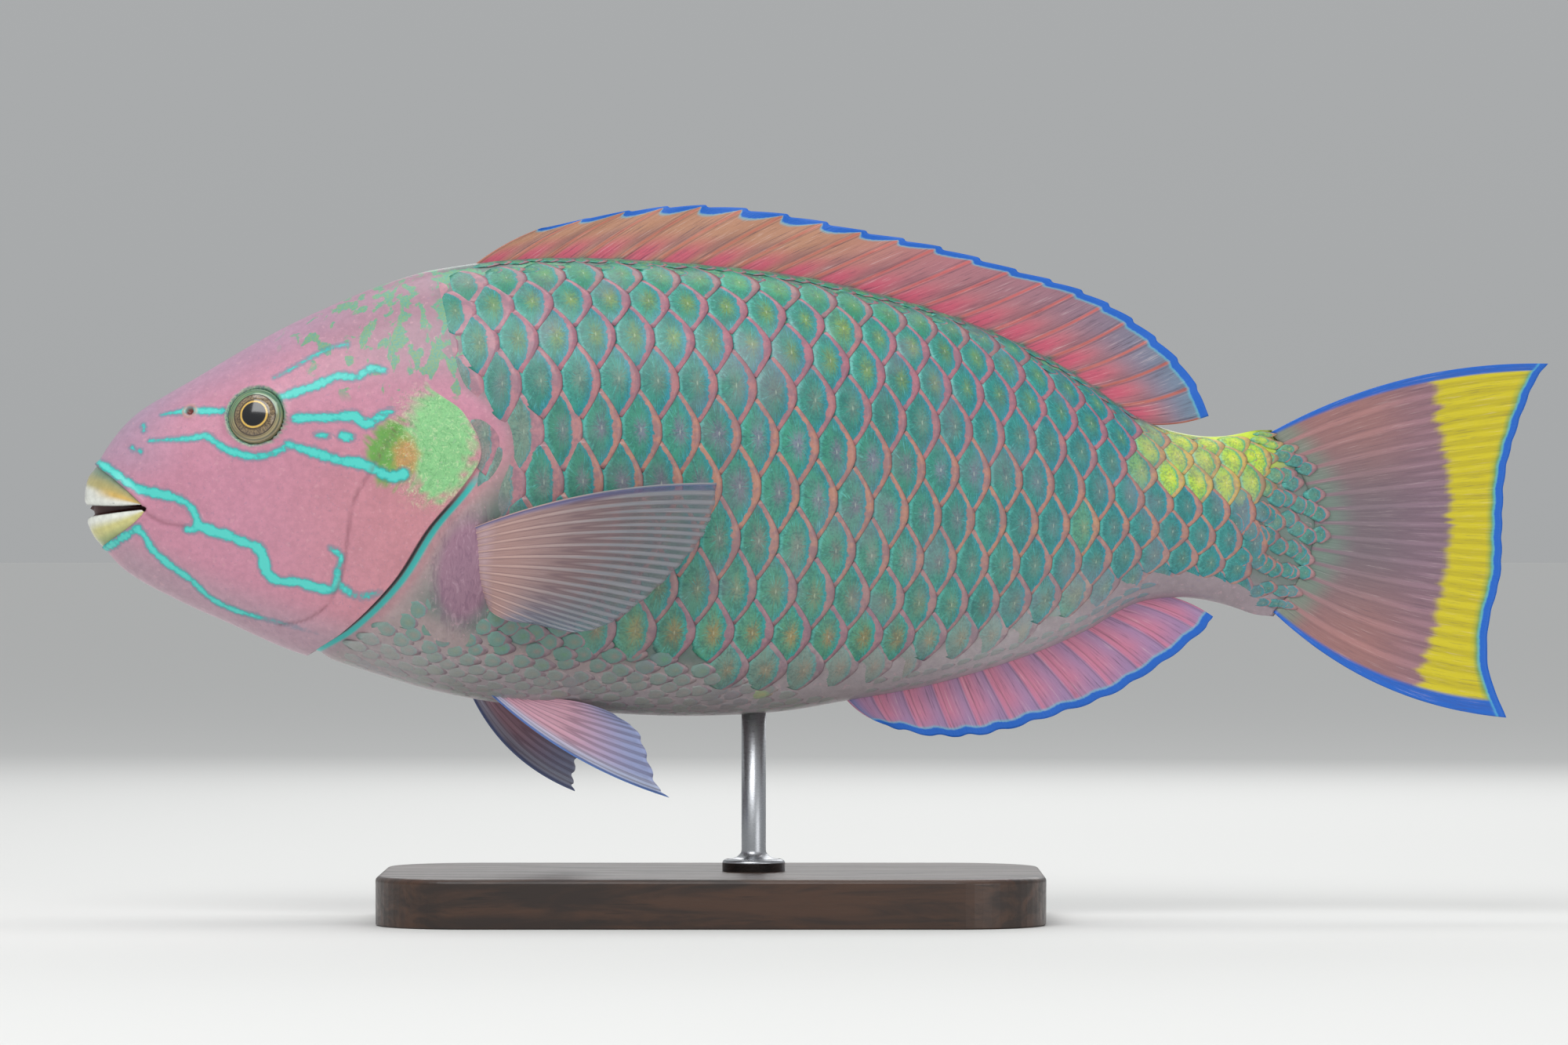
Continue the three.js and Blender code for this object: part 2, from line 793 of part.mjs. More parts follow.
// The stand: a low base with softened edges, and a rod with a collar that rises to the belly.
function baseSolid() {
  const { length, width, height, corner, edge } = BASE;
  const [x, y] = [length / 2 - edge, width / 2 - edge];
  const shape = new THREE.Shape();
  shape.moveTo(-x + corner, -y);
  shape.lineTo(x - corner, -y);
  shape.quadraticCurveTo(x, -y, x, -y + corner);
  shape.lineTo(x, y - corner);
  shape.quadraticCurveTo(x, y, x - corner, y);
  shape.lineTo(-x + corner, y);
  shape.quadraticCurveTo(-x, y, -x, y - corner);
  shape.lineTo(-x, -y + corner);
  shape.quadraticCurveTo(-x, -y, -x + corner, -y);
  const geometry = new THREE.ExtrudeGeometry(shape, {
    depth: height - 2 * edge,
    bevelThickness: edge,
    bevelSize: edge,
    bevelSegments: 2,
    curveSegments: 6,
  });
  geometry.translate(BASE.middle + TOTAL_LENGTH / 2, 0, edge - AXIS_HEIGHT);
  return solidOf(geometry);
}

function rodSolid() {
  const bottom = BASE.height + GAP - AXIS_HEIGHT;
  const top = belly(ROD.s) + ROD.sunk;
  const profile = [
    [0, bottom],
    [ROD.collar_radius, bottom],
    [ROD.collar_radius, bottom + ROD.collar_height * 0.5],
    [ROD.collar_radius * 0.8, bottom + ROD.collar_height * 0.8],
    [ROD.radius, bottom + ROD.collar_height],
    [ROD.radius, top],
    [0, top],
  ].map(([radius, height]) => new THREE.Vector2(radius, height));
  const geometry = new THREE.LatheGeometry(profile, 20);
  geometry.rotateX(Math.PI / 2);
  geometry.translate(ROD.s, 0, 0);
  return solidOf(geometry).subtract(scalyWithGap);
}

const cover = gillCover();
const eye = eyeSolid();
const pectoral = pectoralFin().subtract(scalyWithGap);

const fish = new THREE.Group();
fish.add(
  meshOf("head", headSolid(), headSkin),
  meshOf("gill_cover_left", cover, coverSkin),
  meshOf("gill_cover_right", mirrored(cover), coverSkin),
  meshOf("eye_left", eye, eyeGloss),
  meshOf("eye_right", mirrored(eye), eyeGloss),
  meshOf("beak_upper", beakSolid(UPPER_BEAK), beakEnamel),
  meshOf("beak_lower", beakSolid(LOWER_BEAK), beakEnamel),
  meshOf("trunk", trunkSolid(), scaleSkin),
  meshOf("tail_stalk", stalkSolid(), scaleSkin),
  meshOf("dorsal_fin", dorsalFin().subtract(scalyWithGap), medianFinSkin),
  meshOf("anal_fin", analFin().subtract(scalyWithGap), medianFinSkin),
  meshOf("tail_fin", tailFin(), tailFinSkin),
  meshOf("pectoral_fin_left", pectoral, pairedFinSkin),
  meshOf("pectoral_fin_right", mirrored(pectoral), pairedFinSkin),
  meshOf("pelvic_fin_left", pelvicFin(LEFT_PELVIC).subtract(scalyWithGap), pairedFinSkin),
  meshOf("pelvic_fin_right", pelvicFin(RIGHT_PELVIC).subtract(scalyWithGap), pairedFinSkin),
  meshOf("stand_base", baseSolid(), standWood),
  meshOf("stand_rod", rodSolid(), standSteel),
);
fish.position.set(-TOTAL_LENGTH / 2, 0, AXIS_HEIGHT);

export default fish;
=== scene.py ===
"""A parrotfish in adult male colours on a plain display stand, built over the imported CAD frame.

Fish measures are in millimetres: s runs back from the tip of the beak, h is the height above the long axis,
and y points to the fish's right. They become metres in the row frame in metres().
"""

import bpy
import numpy as np
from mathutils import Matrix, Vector


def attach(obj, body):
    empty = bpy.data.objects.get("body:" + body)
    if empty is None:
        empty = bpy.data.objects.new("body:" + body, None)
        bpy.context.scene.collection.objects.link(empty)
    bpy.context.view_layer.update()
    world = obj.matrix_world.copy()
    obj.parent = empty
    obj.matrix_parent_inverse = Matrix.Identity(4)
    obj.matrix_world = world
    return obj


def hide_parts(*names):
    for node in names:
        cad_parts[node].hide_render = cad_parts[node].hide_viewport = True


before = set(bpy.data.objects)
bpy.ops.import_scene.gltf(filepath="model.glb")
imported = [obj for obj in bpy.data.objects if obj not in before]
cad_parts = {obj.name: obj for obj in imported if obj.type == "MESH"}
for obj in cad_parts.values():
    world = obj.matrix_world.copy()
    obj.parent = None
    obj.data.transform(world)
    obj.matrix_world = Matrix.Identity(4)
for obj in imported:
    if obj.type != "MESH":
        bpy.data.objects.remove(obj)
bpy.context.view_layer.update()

# Frame of the fish.
HALF_LENGTH = 210.0
AXIS_HEIGHT = 120.0
SKIN_END = 362.0  # the last s of the skin's outline

# The body's outline and width along its length: s, back, belly, half width.
STATIONS = np.array([
    (0, -1.5, -2.5, 0.6), (1, 6.3, -6.3, 4.6), (3.2, 9.9, -10.4, 7.2), (6.5, 15.5, -14.4, 9.6),
    (11, 21.4, -19.1, 11.6), (16, 26, -22.6, 13), (24, 31, -26.9, 14.9), (34, 36.8, -31.9, 16.9),
    (50, 46.2, -38.3, 19.6), (67, 54.7, -44.1, 22.2), (84, 61.7, -49.5, 24.7), (101, 66.7, -54.4, 26.8),
    (122, 69.6, -58.2, 28.5), (146, 70.2, -60.4, 29.5), (173, 68.6, -61.5, 29.4), (199, 65.9, -60.3, 28),
    (218, 62.3, -57.2, 26.1), (244, 55.2, -52.3, 22.9), (270, 44.8, -44.4, 18.6), (287, 35.2, -37.2, 15.6),
    (301, 25.2, -29.4, 13.1), (313, 20.3, -27.5, 11), (325, 18.9, -29, 9.2), (338, 21.3, -33.3, 6.8),
    (350, 24.8, -37.8, 4), (362, 28.2, -42.2, 2.2),
])
GILL_MARGIN = np.array([
    (90, 74), (95, 50), (100, 33), (109.5, 25.5), (114.9, 13.7), (110, 4.5),
    (99.6, -7.8), (89.3, -23.3), (75, -37), (60, -46), (52, -56),
])
STALK_END = (358.0, -6.5, 29.0, 15.5)  # furthest s, height there, half height, set back at that height
EYE_AT = (50.2, 24.4)
EYE_RADIUS = 7.7
SOCKET_RIM = 8.9  # radius of the raised rim round the eye
NOSTRIL_AT = (31.0, 25.8)
SNOUT_TIP = (1.6, 0, -2.0)
UPPER_LIP = [(17.6, -0.6), (13.05, 3.6), (8.6, 7.2), (4.0, 10.3)]
LOWER_LIP = [(18.2, -3.6), (15.0, -6.6), (10.6, -9.7), (6.0, -12.7)]


# Small tools for numbers.

def smooth(xs, ys, x):
    """A cubic curve through table rows, with slopes from the neighbours, read at x."""
    xs, ys, x = np.asarray(xs, float), np.asarray(ys, float), np.asarray(x, float)
    slopes = np.empty_like(ys)
    slopes[1:-1] = (ys[2:] - ys[:-2]) / (xs[2:] - xs[:-2])
    slopes[0] = (ys[1] - ys[0]) / (xs[1] - xs[0])
    slopes[-1] = (ys[-1] - ys[-2]) / (xs[-1] - xs[-2])
    x = np.clip(x, xs[0], xs[-1])
    i = np.clip(np.searchsorted(xs, x, side="right") - 1, 0, len(xs) - 2)
    width = xs[i + 1] - xs[i]
    t = (x - xs[i]) / width
    return (
        (2 * t**3 - 3 * t**2 + 1) * ys[i]
        + (t**3 - 2 * t**2 + t) * width * slopes[i]
        + (3 * t**2 - 2 * t**3) * ys[i + 1]
        + (t**3 - t**2) * width * slopes[i + 1]
    )


def ramp(x, start, end):
    """0 before start, 1 after end and a soft rise between. start may lie above end."""
    t = np.clip((np.asarray(x, float) - start) / (end - start), 0, 1)
    return t * t * (3 - 2 * t)


def bump(x, width):
    """1 at x = 0, falling off on both sides over about that width."""
    return np.exp(-((np.asarray(x, float) / width) ** 2))


def mix(a, b, t):
    """From a to b by share t. One share for each point gives colours one row for each point."""
    a, b, t = np.asarray(a, float), np.asarray(b, float), np.asarray(t, float)
    if t.ndim and (a.ndim or b.ndim):
        t = t.reshape(-1, 1)
    return a * (1 - t) + b * t


def srgb(r, g, b):
    """A colour named by its 0 to 255 screen values, in linear light."""
    c = np.array([r, g, b], float) / 255
    return np.where(c <= 0.04045, c / 12.92, ((c + 0.055) / 1.055) ** 2.4)


def tint(colour, *layers):
    """A colour in linear light with layers laid over it in turn, each a screen tone and its share."""
    for tone, share in layers:
        colour = mix(colour, srgb(*tone), share)
    return colour


def oval(s, h, centre, half_sizes):
    """1 in the middle of an oval of the side view, falling evenly to 0 at its edge."""
    place = np.stack([s, h], -1)
    return np.clip(1 - np.linalg.norm((place - centre) / half_sizes, axis=1), 0, 1)


def wave_noise(p, size, seed):
    """Smooth noise from -1 to 1 at points p, with features of about that size."""
    r = np.random.default_rng(seed)
    total = np.zeros(len(p))
    for _ in range(10):
        way = r.normal(size=3)
        way /= np.linalg.norm(way)
        total += np.sin(p @ way * (2 * np.pi / size) * r.uniform(0.6, 1.5) + r.uniform(0, 6.3))
    return total / 4


# The body's form.

roots = np.sqrt(STATIONS[:, 0])


def column(k):
    """The outline's k-th column as a curve, read over the root of s so that the snout is round."""
    return lambda s: smooth(roots, STATIONS[:, k], np.sqrt(np.maximum(s, 0)))


back, belly, half_width = column(1), column(2), column(3)


def middle(s):
    return (back(s) + belly(s)) / 2


def half_height(s):
    return (back(s) - belly(s)) / 2


def height_at(s, angle):
    return middle(s) + half_height(s) * np.cos(angle)


def stalk_end(h):
    """The s at which the tail stalk ends at height h."""
    far, height, half, set_back = STALK_END
    return far - set_back * ((h - height) / half) ** 2


def skin_at(s, angle, grow=0.0):
    """The body's surface. Angle 0 is the ridge of the back, pi the keel, and the left side lies between."""
    s, angle = np.asarray(s, float), np.asarray(angle, float)
    c, across = np.cos(angle), np.sin(angle)
    pinch = 1 - 0.065 * ramp(s, 334, 344)  # the skin ends within the tail fin's root
    h = middle(s) + (half_height(s) * pinch + grow) * c
    to_end = ramp(stalk_end(h) - s, 1.5, 27)
    wide = np.where(s > 320, 0.3 + (half_width(s) - 0.3) * to_end, half_width(s)) + grow
    y = -wide * np.abs(across) ** (1.02 + 0.1 * c) * np.sign(across)
    return np.stack(np.broadcast_arrays(s, y, h), -1)


def normal_at(s, angle):
    """The outward direction of the body's surface."""
    along = skin_at(s + 0.1, angle) - skin_at(np.maximum(s - 0.1, 0.0), angle)
    round_ = skin_at(s, angle + 0.01) - skin_at(s, angle - 0.01)
    n = np.cross(round_, along)
    return n / np.maximum(np.linalg.norm(n, axis=-1, keepdims=True), 1e-9)


def angle_at(s, h):
    """The angle at which the skin of the left side passes height h."""
    return np.arccos(np.clip((h - middle(s)) / half_height(s), -0.999, 0.999))


def side_point(s, h):
    s, h = np.asarray(s, float), np.asarray(h, float)
    return skin_at(s, angle_at(s, h))


def to_left(points):
    """The points, with those of the right side mirrored to the left."""
    return np.stack([points[:, 0], -np.abs(points[:, 1]), points[:, 2]], -1)


def curve(controls, count):
    """A smooth line through a few places, evenly read."""
    controls = np.asarray(controls, float)
    steps = np.linalg.norm(np.diff(controls, axis=0), axis=1)
    at = np.concatenate([[0], np.cumsum(steps)])
    t = np.linspace(0, at[-1], count)
    return np.stack([smooth(at, controls[:, k], t) for k in range(controls.shape[1])], -1)


def skin_line(controls, count):
    """A smooth line on the left skin through a few places of the side view."""
    flat = curve(controls, count)
    return side_point(flat[:, 0], flat[:, 1])


def nearest(points, line, at_once=20000):
    """Distance from each point to the line's points, and how far along the line, 0 to 1."""
    best = np.empty(len(points))
    where = np.empty(len(points))
    for part in np.array_split(np.arange(len(points)), len(points) // at_once + 1):
        d = np.linalg.norm(points[part, None, :] - line[None, :, :], axis=2)
        k = d.argmin(1)
        best[part] = d[np.arange(len(part)), k]
        where[part] = k / (len(line) - 1)
    return best, where


def distance_to(line, points, within):
    """Distance to a line for the points that within picks out. The others count as far away."""
    distance = np.full(len(points), 99.0)
    distance[within], _ = nearest(points[within], line)
    return distance


# Building meshes.

def metres(points):
    p = np.asarray(points, float)
    return np.stack([p[..., 0] - HALF_LENGTH, p[..., 1], p[..., 2] + AXIS_HEIGHT], -1) / 1000


def make(name, points, *face_sets, smooth_shade=True):
    """A mesh object from points in fish measures and arrays of faces, each array with faces of one size."""
    mesh = bpy.data.meshes.new(name)
    co = metres(points).reshape(-1, 3)
    corners = np.concatenate([np.ravel(faces) for faces in face_sets])
    sizes = np.concatenate([np.full(len(faces), np.shape(faces)[1]) for faces in face_sets])
    starts = np.concatenate([[0], np.cumsum(sizes)[:-1]])
    mesh.vertices.add(len(co))
    mesh.vertices.foreach_set("co", co.astype(np.float32).ravel())
    mesh.loops.add(len(corners))
    mesh.loops.foreach_set("vertex_index", corners.astype(np.int32))
    mesh.polygons.add(len(sizes))
    mesh.polygons.foreach_set("loop_start", starts.astype(np.int32))
    mesh.polygons.foreach_set("loop_total", sizes.astype(np.int32))
    mesh.update(calc_edges=True)
    mesh.validate()
    mesh.polygons.foreach_set("use_smooth", [smooth_shade] * len(mesh.polygons))
    obj = bpy.data.objects.new(name, mesh)
    bpy.context.scene.collection.objects.link(obj)
    return obj


def give(obj, **fields):
    """Stores per-vertex numbers (n) or colours (n, 3) that the materials read."""
    for name, values in fields.items():
        values = np.asarray(values, float)
        if values.ndim == 1:
            layer = obj.data.attributes.new(name, "FLOAT", "POINT")
            layer.data.foreach_set("value", values.astype(np.float32))
        else:
            layer = obj.data.attributes.new(name, "FLOAT_COLOR", "POINT")
            rgba = np.insert(np.clip(values, 0, 1), 3, 1, axis=1)
            layer.data.foreach_set("color", rgba.astype(np.float32).ravel())


def give_uv(obj, uv):
    """The map for baking, from one place for each vertex."""
    layer = obj.data.uv_layers.new(name="OFBake")
    corners = np.empty(len(obj.data.loops), np.int32)
    obj.data.loops.foreach_get("vertex_index", corners)
    layer.data.foreach_set("uv", np.clip(uv, 0.0005, 0.9995)[corners].astype(np.float32).ravel())


def grid_faces(rows, columns, wrap=False):
    """Quads over a grid of rows by columns of points. wrap joins the last row to the first."""
    r = np.arange(rows if wrap else rows - 1)[:, None]
    c = np.arange(columns - 1)[None, :]
    r1 = (r + 1) % rows
    a, b = r * columns + c, r * columns + c + 1
    d, e = r1 * columns + c + 1, r1 * columns + c
    return np.stack(np.broadcast_arrays(a, b, d, e), -1).reshape(-1, 4)


def rim_wall(rows, columns):
    """Quads between the rims of two equal grids of points, of which the second follows the first."""
    count = rows * columns
    grid = np.arange(count).reshape(rows, columns)
    rim = np.concatenate([grid[0], grid[1:, -1], grid[-1, -2::-1], grid[-2:0:-1, 0]])
    following = np.roll(rim, -1)
    return np.stack([rim, rim + count, following + count, following], -1)


def sheet_faces(rows, columns):
    """Faces of a thin closed sheet: a grid of points, its other face after it and the wall round them."""
    quads = grid_faces(rows, columns)
    return np.concatenate([quads, quads[:, ::-1] + rows * columns, rim_wall(rows, columns)])


def fan_faces(apex, ring):
    """Triangles from one point to a closed ring of points."""
    return np.stack([np.full(len(ring), apex), ring, np.roll(ring, -1)], -1)


# Materials.

class Shader:
    """A short way to write node trees."""

    def __init__(self, name, **settings):
        self.material = bpy.data.materials.new(name)
        self.material.use_nodes = True
        self.tree = self.material.node_tree
        self.out = self.tree.nodes["Principled BSDF"]
        for socket, value in settings.items():
            self.set(socket.replace("_", " "), value)

    def join(self, target, value):
        """Links a socket to an input, or sets the input's number, place or colour."""
        if isinstance(value, bpy.types.NodeSocket):
            self.tree.links.new(value, target)
        elif target.type == "RGBA":
            target.default_value = (*[float(v) for v in value], 1.0)
        else:
            target.default_value = value

    def set(self, socket, value):
        self.join(self.out.inputs[socket], value)

    def node(self, kind, inputs=(), **properties):
        n = self.tree.nodes.new("ShaderNode" + kind)
        for key, value in properties.items():
            setattr(n, key, value)
        for key, value in dict(inputs).items():
            self.join(n.inputs[key], value)
        return n

    def number(self, name):
        return self.node("Attribute", attribute_name=name).outputs["Fac"]

    def colour(self, name):
        return self.node("Attribute", attribute_name=name).outputs["Color"]

    def place(self):
        return self.node("TexCoord").outputs["Object"]

    def math(self, operation, a, b=0.0, c=0.0):
        return self.node("Math", {0: a, 1: b, 2: c}, operation=operation).outputs[0]

    def times(self, first, *others):
        for value in others:
            first = self.math("MULTIPLY", first, value)
        return first

    def plus(self, a, b):
        return self.math("ADD", a, b)

    def minus(self, a, b):
        return self.math("SUBTRACT", a, b)

    def unsigned(self, value):
        return self.math("ABSOLUTE", value)

    def linear(self, value, slope, offset):
        """value * slope + offset."""
        return self.math("MULTIPLY_ADD", value, slope, offset)

    def vector(self, x=0.0, y=0.0, z=0.0):
        return self.node("CombineXYZ", {0: x, 1: y, 2: z}).outputs[0]

    def noise(self, vector, scale=1.0, detail=2.0, rough=0.5, distortion=0.0):
        inputs = {"Vector": vector, "Scale": scale, "Detail": detail, "Roughness": rough}
        return self.node("TexNoise", {**inputs, "Distortion": distortion}).outputs["Fac"]

    def ramp(self, value, start, end, low=0.0, high=1.0):
        """low before start, high after end and a soft change between."""
        inputs = {0: value, 1: start, 2: end, 3: low, 4: high}
        return self.node("MapRange", inputs, interpolation_type="SMOOTHSTEP").outputs[0]

    def mix(self, a, b, share, blend="MIX"):
        inputs = {0: share, 6: a, 7: b}
        return self.node("Mix", inputs, data_type="RGBA", blend_type=blend).outputs[2]

    def shaded(self, colour, tone):
        """The colour made lighter or darker by a factor."""
        return self.mix(colour, self.vector(tone, tone, tone), 1.0, "MULTIPLY")

    def paint(self, colour, *layers):
        """The colour with layers laid over it in turn, each a screen tone and shares to be multiplied."""
        for tone, *shares in layers:
            colour = self.mix(colour, srgb(*tone), self.times(*shares))
        return colour

    def stretched(self, scale, turn=0.0):
        """Places on the object, stretched by a scale for each axis and turned about y."""
        inputs = {"Vector": self.place(), "Rotation": (0, turn, 0), "Scale": scale}
        return self.node("Mapping", inputs).outputs[0]

    def relief(self, height, strength, distance):
        """Fine relief in the shading only, distance in metres."""
        n = self.node("Bump", {"Height": height, "Strength": strength, "Distance": distance})
        self.tree.links.new(n.outputs[0], self.out.inputs["Normal"])


def dress(obj, material, slot, *nodes):
    """Gives a piece its material and body, and hides the frame's nodes it takes the place of. slot is not
    used.
    """
    obj.data.materials.clear()
    obj.data.materials.append(material)
    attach(obj, "root")
    if nodes:
        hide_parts(*nodes)
    return obj


# Colours of the fish, as 0 to 255 screen values.
ROSE = (204, 140, 162)
ROSE_WARM = (204, 138, 148)
MAUVE = (160, 140, 165)
BROW = (164, 148, 172)
CHIN = (182, 152, 166)
PATCH_GREEN = (110, 170, 80)
PATCH_PALE = (140, 205, 140)
PATCH_ORANGE = (205, 150, 95)
BELLY = (176, 166, 170)
BREAST = (158, 150, 148)
YELLOW = (200, 225, 60)
BLUE = (0, 98, 200)


# Places on the head, read off the side view as (s, h) in millimetres.

DRAWING_ZOOM = 2.6133  # units of the head's drawing for each unit of the side view
DRAWING_SNOUT, DRAWING_AXIS = 28, 260  # where s and h are 0 in the side view
DRAWING_MM = 0.225  # for each unit of the side view


def from_drawing(points):
    """Side-view places in mm from places in the head's drawing."""
    across, down = np.asarray(points, float).T / DRAWING_ZOOM
    return np.stack([(across - DRAWING_SNOUT) * DRAWING_MM, (DRAWING_AXIS - down) * DRAWING_MM], -1)


STRIPES = [
    # places of the line, then half widths in mm at its start, middle and end
    ([(335, 392), (380, 384), (435, 378), (500, 380), (552, 380)], (0.3, 1.1, 0.9)),
    ([(300, 478), (380, 474), (450, 470), (490, 463), (520, 482), (560, 508), (640, 530), (700, 525),
      (752, 503)], (0.4, 1.0, 0.9)),
    ([(765, 490), (810, 505), (860, 520), (940, 545), (1000, 553), (1050, 572), (1110, 598),
      (1150, 590)], (1.1, 1.4, 1.5)),
    ([(742, 335), (800, 315), (850, 298), (900, 277), (930, 265), (975, 268)], (1.2, 1.3, 1.0)),
    ([(1000, 268), (1020, 250), (1045, 240), (1085, 247)], (1.0, 1.1, 0.8)),
    ([(790, 405), (850, 402), (910, 402), (960, 398), (1000, 400)], (1.3, 1.2, 1.5)),
    ([(985, 392), (1005, 415), (1030, 425), (1070, 400), (1110, 380)], (1.2, 1.3, 1.0)),
    ([(862, 460), (900, 462)], (0.8, 0.8, 0.6)),
    ([(945, 462), (975, 468)], (1.2, 1.4, 1.0)),
    ([(715, 270), (745, 256), (780, 236), (815, 215), (850, 196), (910, 168), (960, 160)],
      (0.35, 0.5, 0.5)),
    ([(116, 543), (122, 549), (168, 578), (205, 602), (237, 622), (276, 641), (351, 658), (400, 672),
      (435, 693), (455, 722), (463, 752), (455, 770), (425, 772)], (1.2, 1.3, 0.9)),
    ([(463, 755), (490, 768), (520, 780), (560, 790), (600, 808), (650, 826), (672, 842), (682, 868),
      (692, 912), (715, 935), (745, 945), (790, 945), (830, 955), (870, 966), (912, 968), (925, 950),
      (930, 925)], (1.4, 1.5, 1.2)),
    ([(930, 905), (932, 940), (948, 962), (980, 982), (1010, 990), (1045, 984), (1075, 975)],
      (1.0, 1.3, 1.1)),
    ([(905, 832), (925, 845), (942, 858), (938, 885)], (0.5, 0.9, 0.7)),
    ([(138, 841), (147, 833), (184, 812), (224, 788), (262, 766)], (1.3, 1.3, 1.2)),
    ([(255, 765), (285, 795), (310, 840), (345, 872), (385, 905), (440, 942), (470, 975), (500, 1000),
      (545, 1025), (600, 1045), (700, 1070), (790, 1092), (860, 1110)], (1.1, 1.0, 0.3)),
    ([(275, 425), (280, 445)], (0.5, 0.5, 0.4)),
    ([(240, 500), (250, 510)], (0.5, 0.5, 0.4)),
    ([(268, 510), (272, 518)], (0.5, 0.5, 0.4)),
]
LIP_FOLD = [(17.5, -1.6), (20, -4.2), (24, -6.2), (29.5, -7.2)]
PREOPERCLE = [(90, 20), (83, 8), (78.5, 0), (76.7, -10), (75.5, -19), (72, -27.5), (66, -33), (57, -35)]


def stripe_field(points):
    """Signed distance to the nearest turquoise marking of the head, negative inside it."""
    left = to_left(points)
    field = np.full(len(left), 9.0)
    near = (left[:, 0] < 125) & (left[:, 0] > -5)
    for number, (controls, widths) in enumerate(STRIPES):
        line = skin_line(from_drawing(controls), 20 + 12 * len(controls))
        box_low, box_high = line.min(0) - 9, line.max(0) + 9
        close = near & np.all((left > box_low) & (left < box_high), axis=1)
        if not close.any():
            continue
        d, t = nearest(left[close], line)
        half = smooth([0, 0.5, 1], widths, t) * (1 + 0.25 * np.sin(t * 40 + number) * np.sin(t * 23))
        field[close] = np.minimum(field[close], d - half)
    return field


# The skin: one closed sheet from the snout to the scaly root of the tail fin.

AROUND = 256
HEAD_COLUMNS = 185
BODY_COLUMNS = 150
MARGIN_STEPS = np.array([
    -3, -2.2, -1.5, -1, -0.6, -0.3, -0.1, 0.06, 0.2, 0.45, 0.8, 1.3, 1.9, 2.6, 3.4, 4.3, 5.3, 6.5,
])


def margin_s(h):
    """The s of the gill cover's free edge at height h."""
    order = np.argsort(GILL_MARGIN[:, 1])
    return smooth(GILL_MARGIN[order, 1], GILL_MARGIN[order, 0], h)


def solve_s(angle, target, low, high):
    """Where along the body a line of constant angle meets the side-view line s = target(h)."""
    lo, hi = np.full(angle.shape, float(low)), np.full(angle.shape, float(high))
    for _ in range(40):
        mid = (lo + hi) / 2
        ahead = mid < target(height_at(mid, angle))
        lo, hi = np.where(ahead, mid, lo), np.where(ahead, hi, mid)
    return (lo + hi) / 2


def gill_opening(h):
    """How open the gill slit is at height h, from 0 to 1."""
    return ramp(h, 27, 17) * ramp(h, -52, -44)


def eye_frame():
    """The middle of the left eye on the skin, and the outward direction there."""
    s, h = EYE_AT
    angle = float(angle_at(s, h))
    return skin_at(s, angle), normal_at(s, angle)


def beak_recess(s, h):
    """How deep the skin lies under the beak plates, and how deep the mouth cuts in."""
    upper = curve(UPPER_LIP, 40)
    lower = curve(LOWER_LIP, 40)[::-1]
    upper_s, lower_s = (np.interp(h, lip[:, 1], lip[:, 0]) for lip in (upper, lower))
    lip_s = np.where(h > -1.9, upper_s, lower_s)
    under = ramp(lip_s - s, -0.1, 1.1) * ramp(h, 11.3, 10.5) * ramp(h, -13.7, -12.9)
    slit_half = np.clip((19 - s) * 0.11, 0, 2.0)
    slit = ramp(np.abs(h + 2.2), slit_half + 0.9, slit_half) * ramp(s, 19.2, 17)
    return under, slit


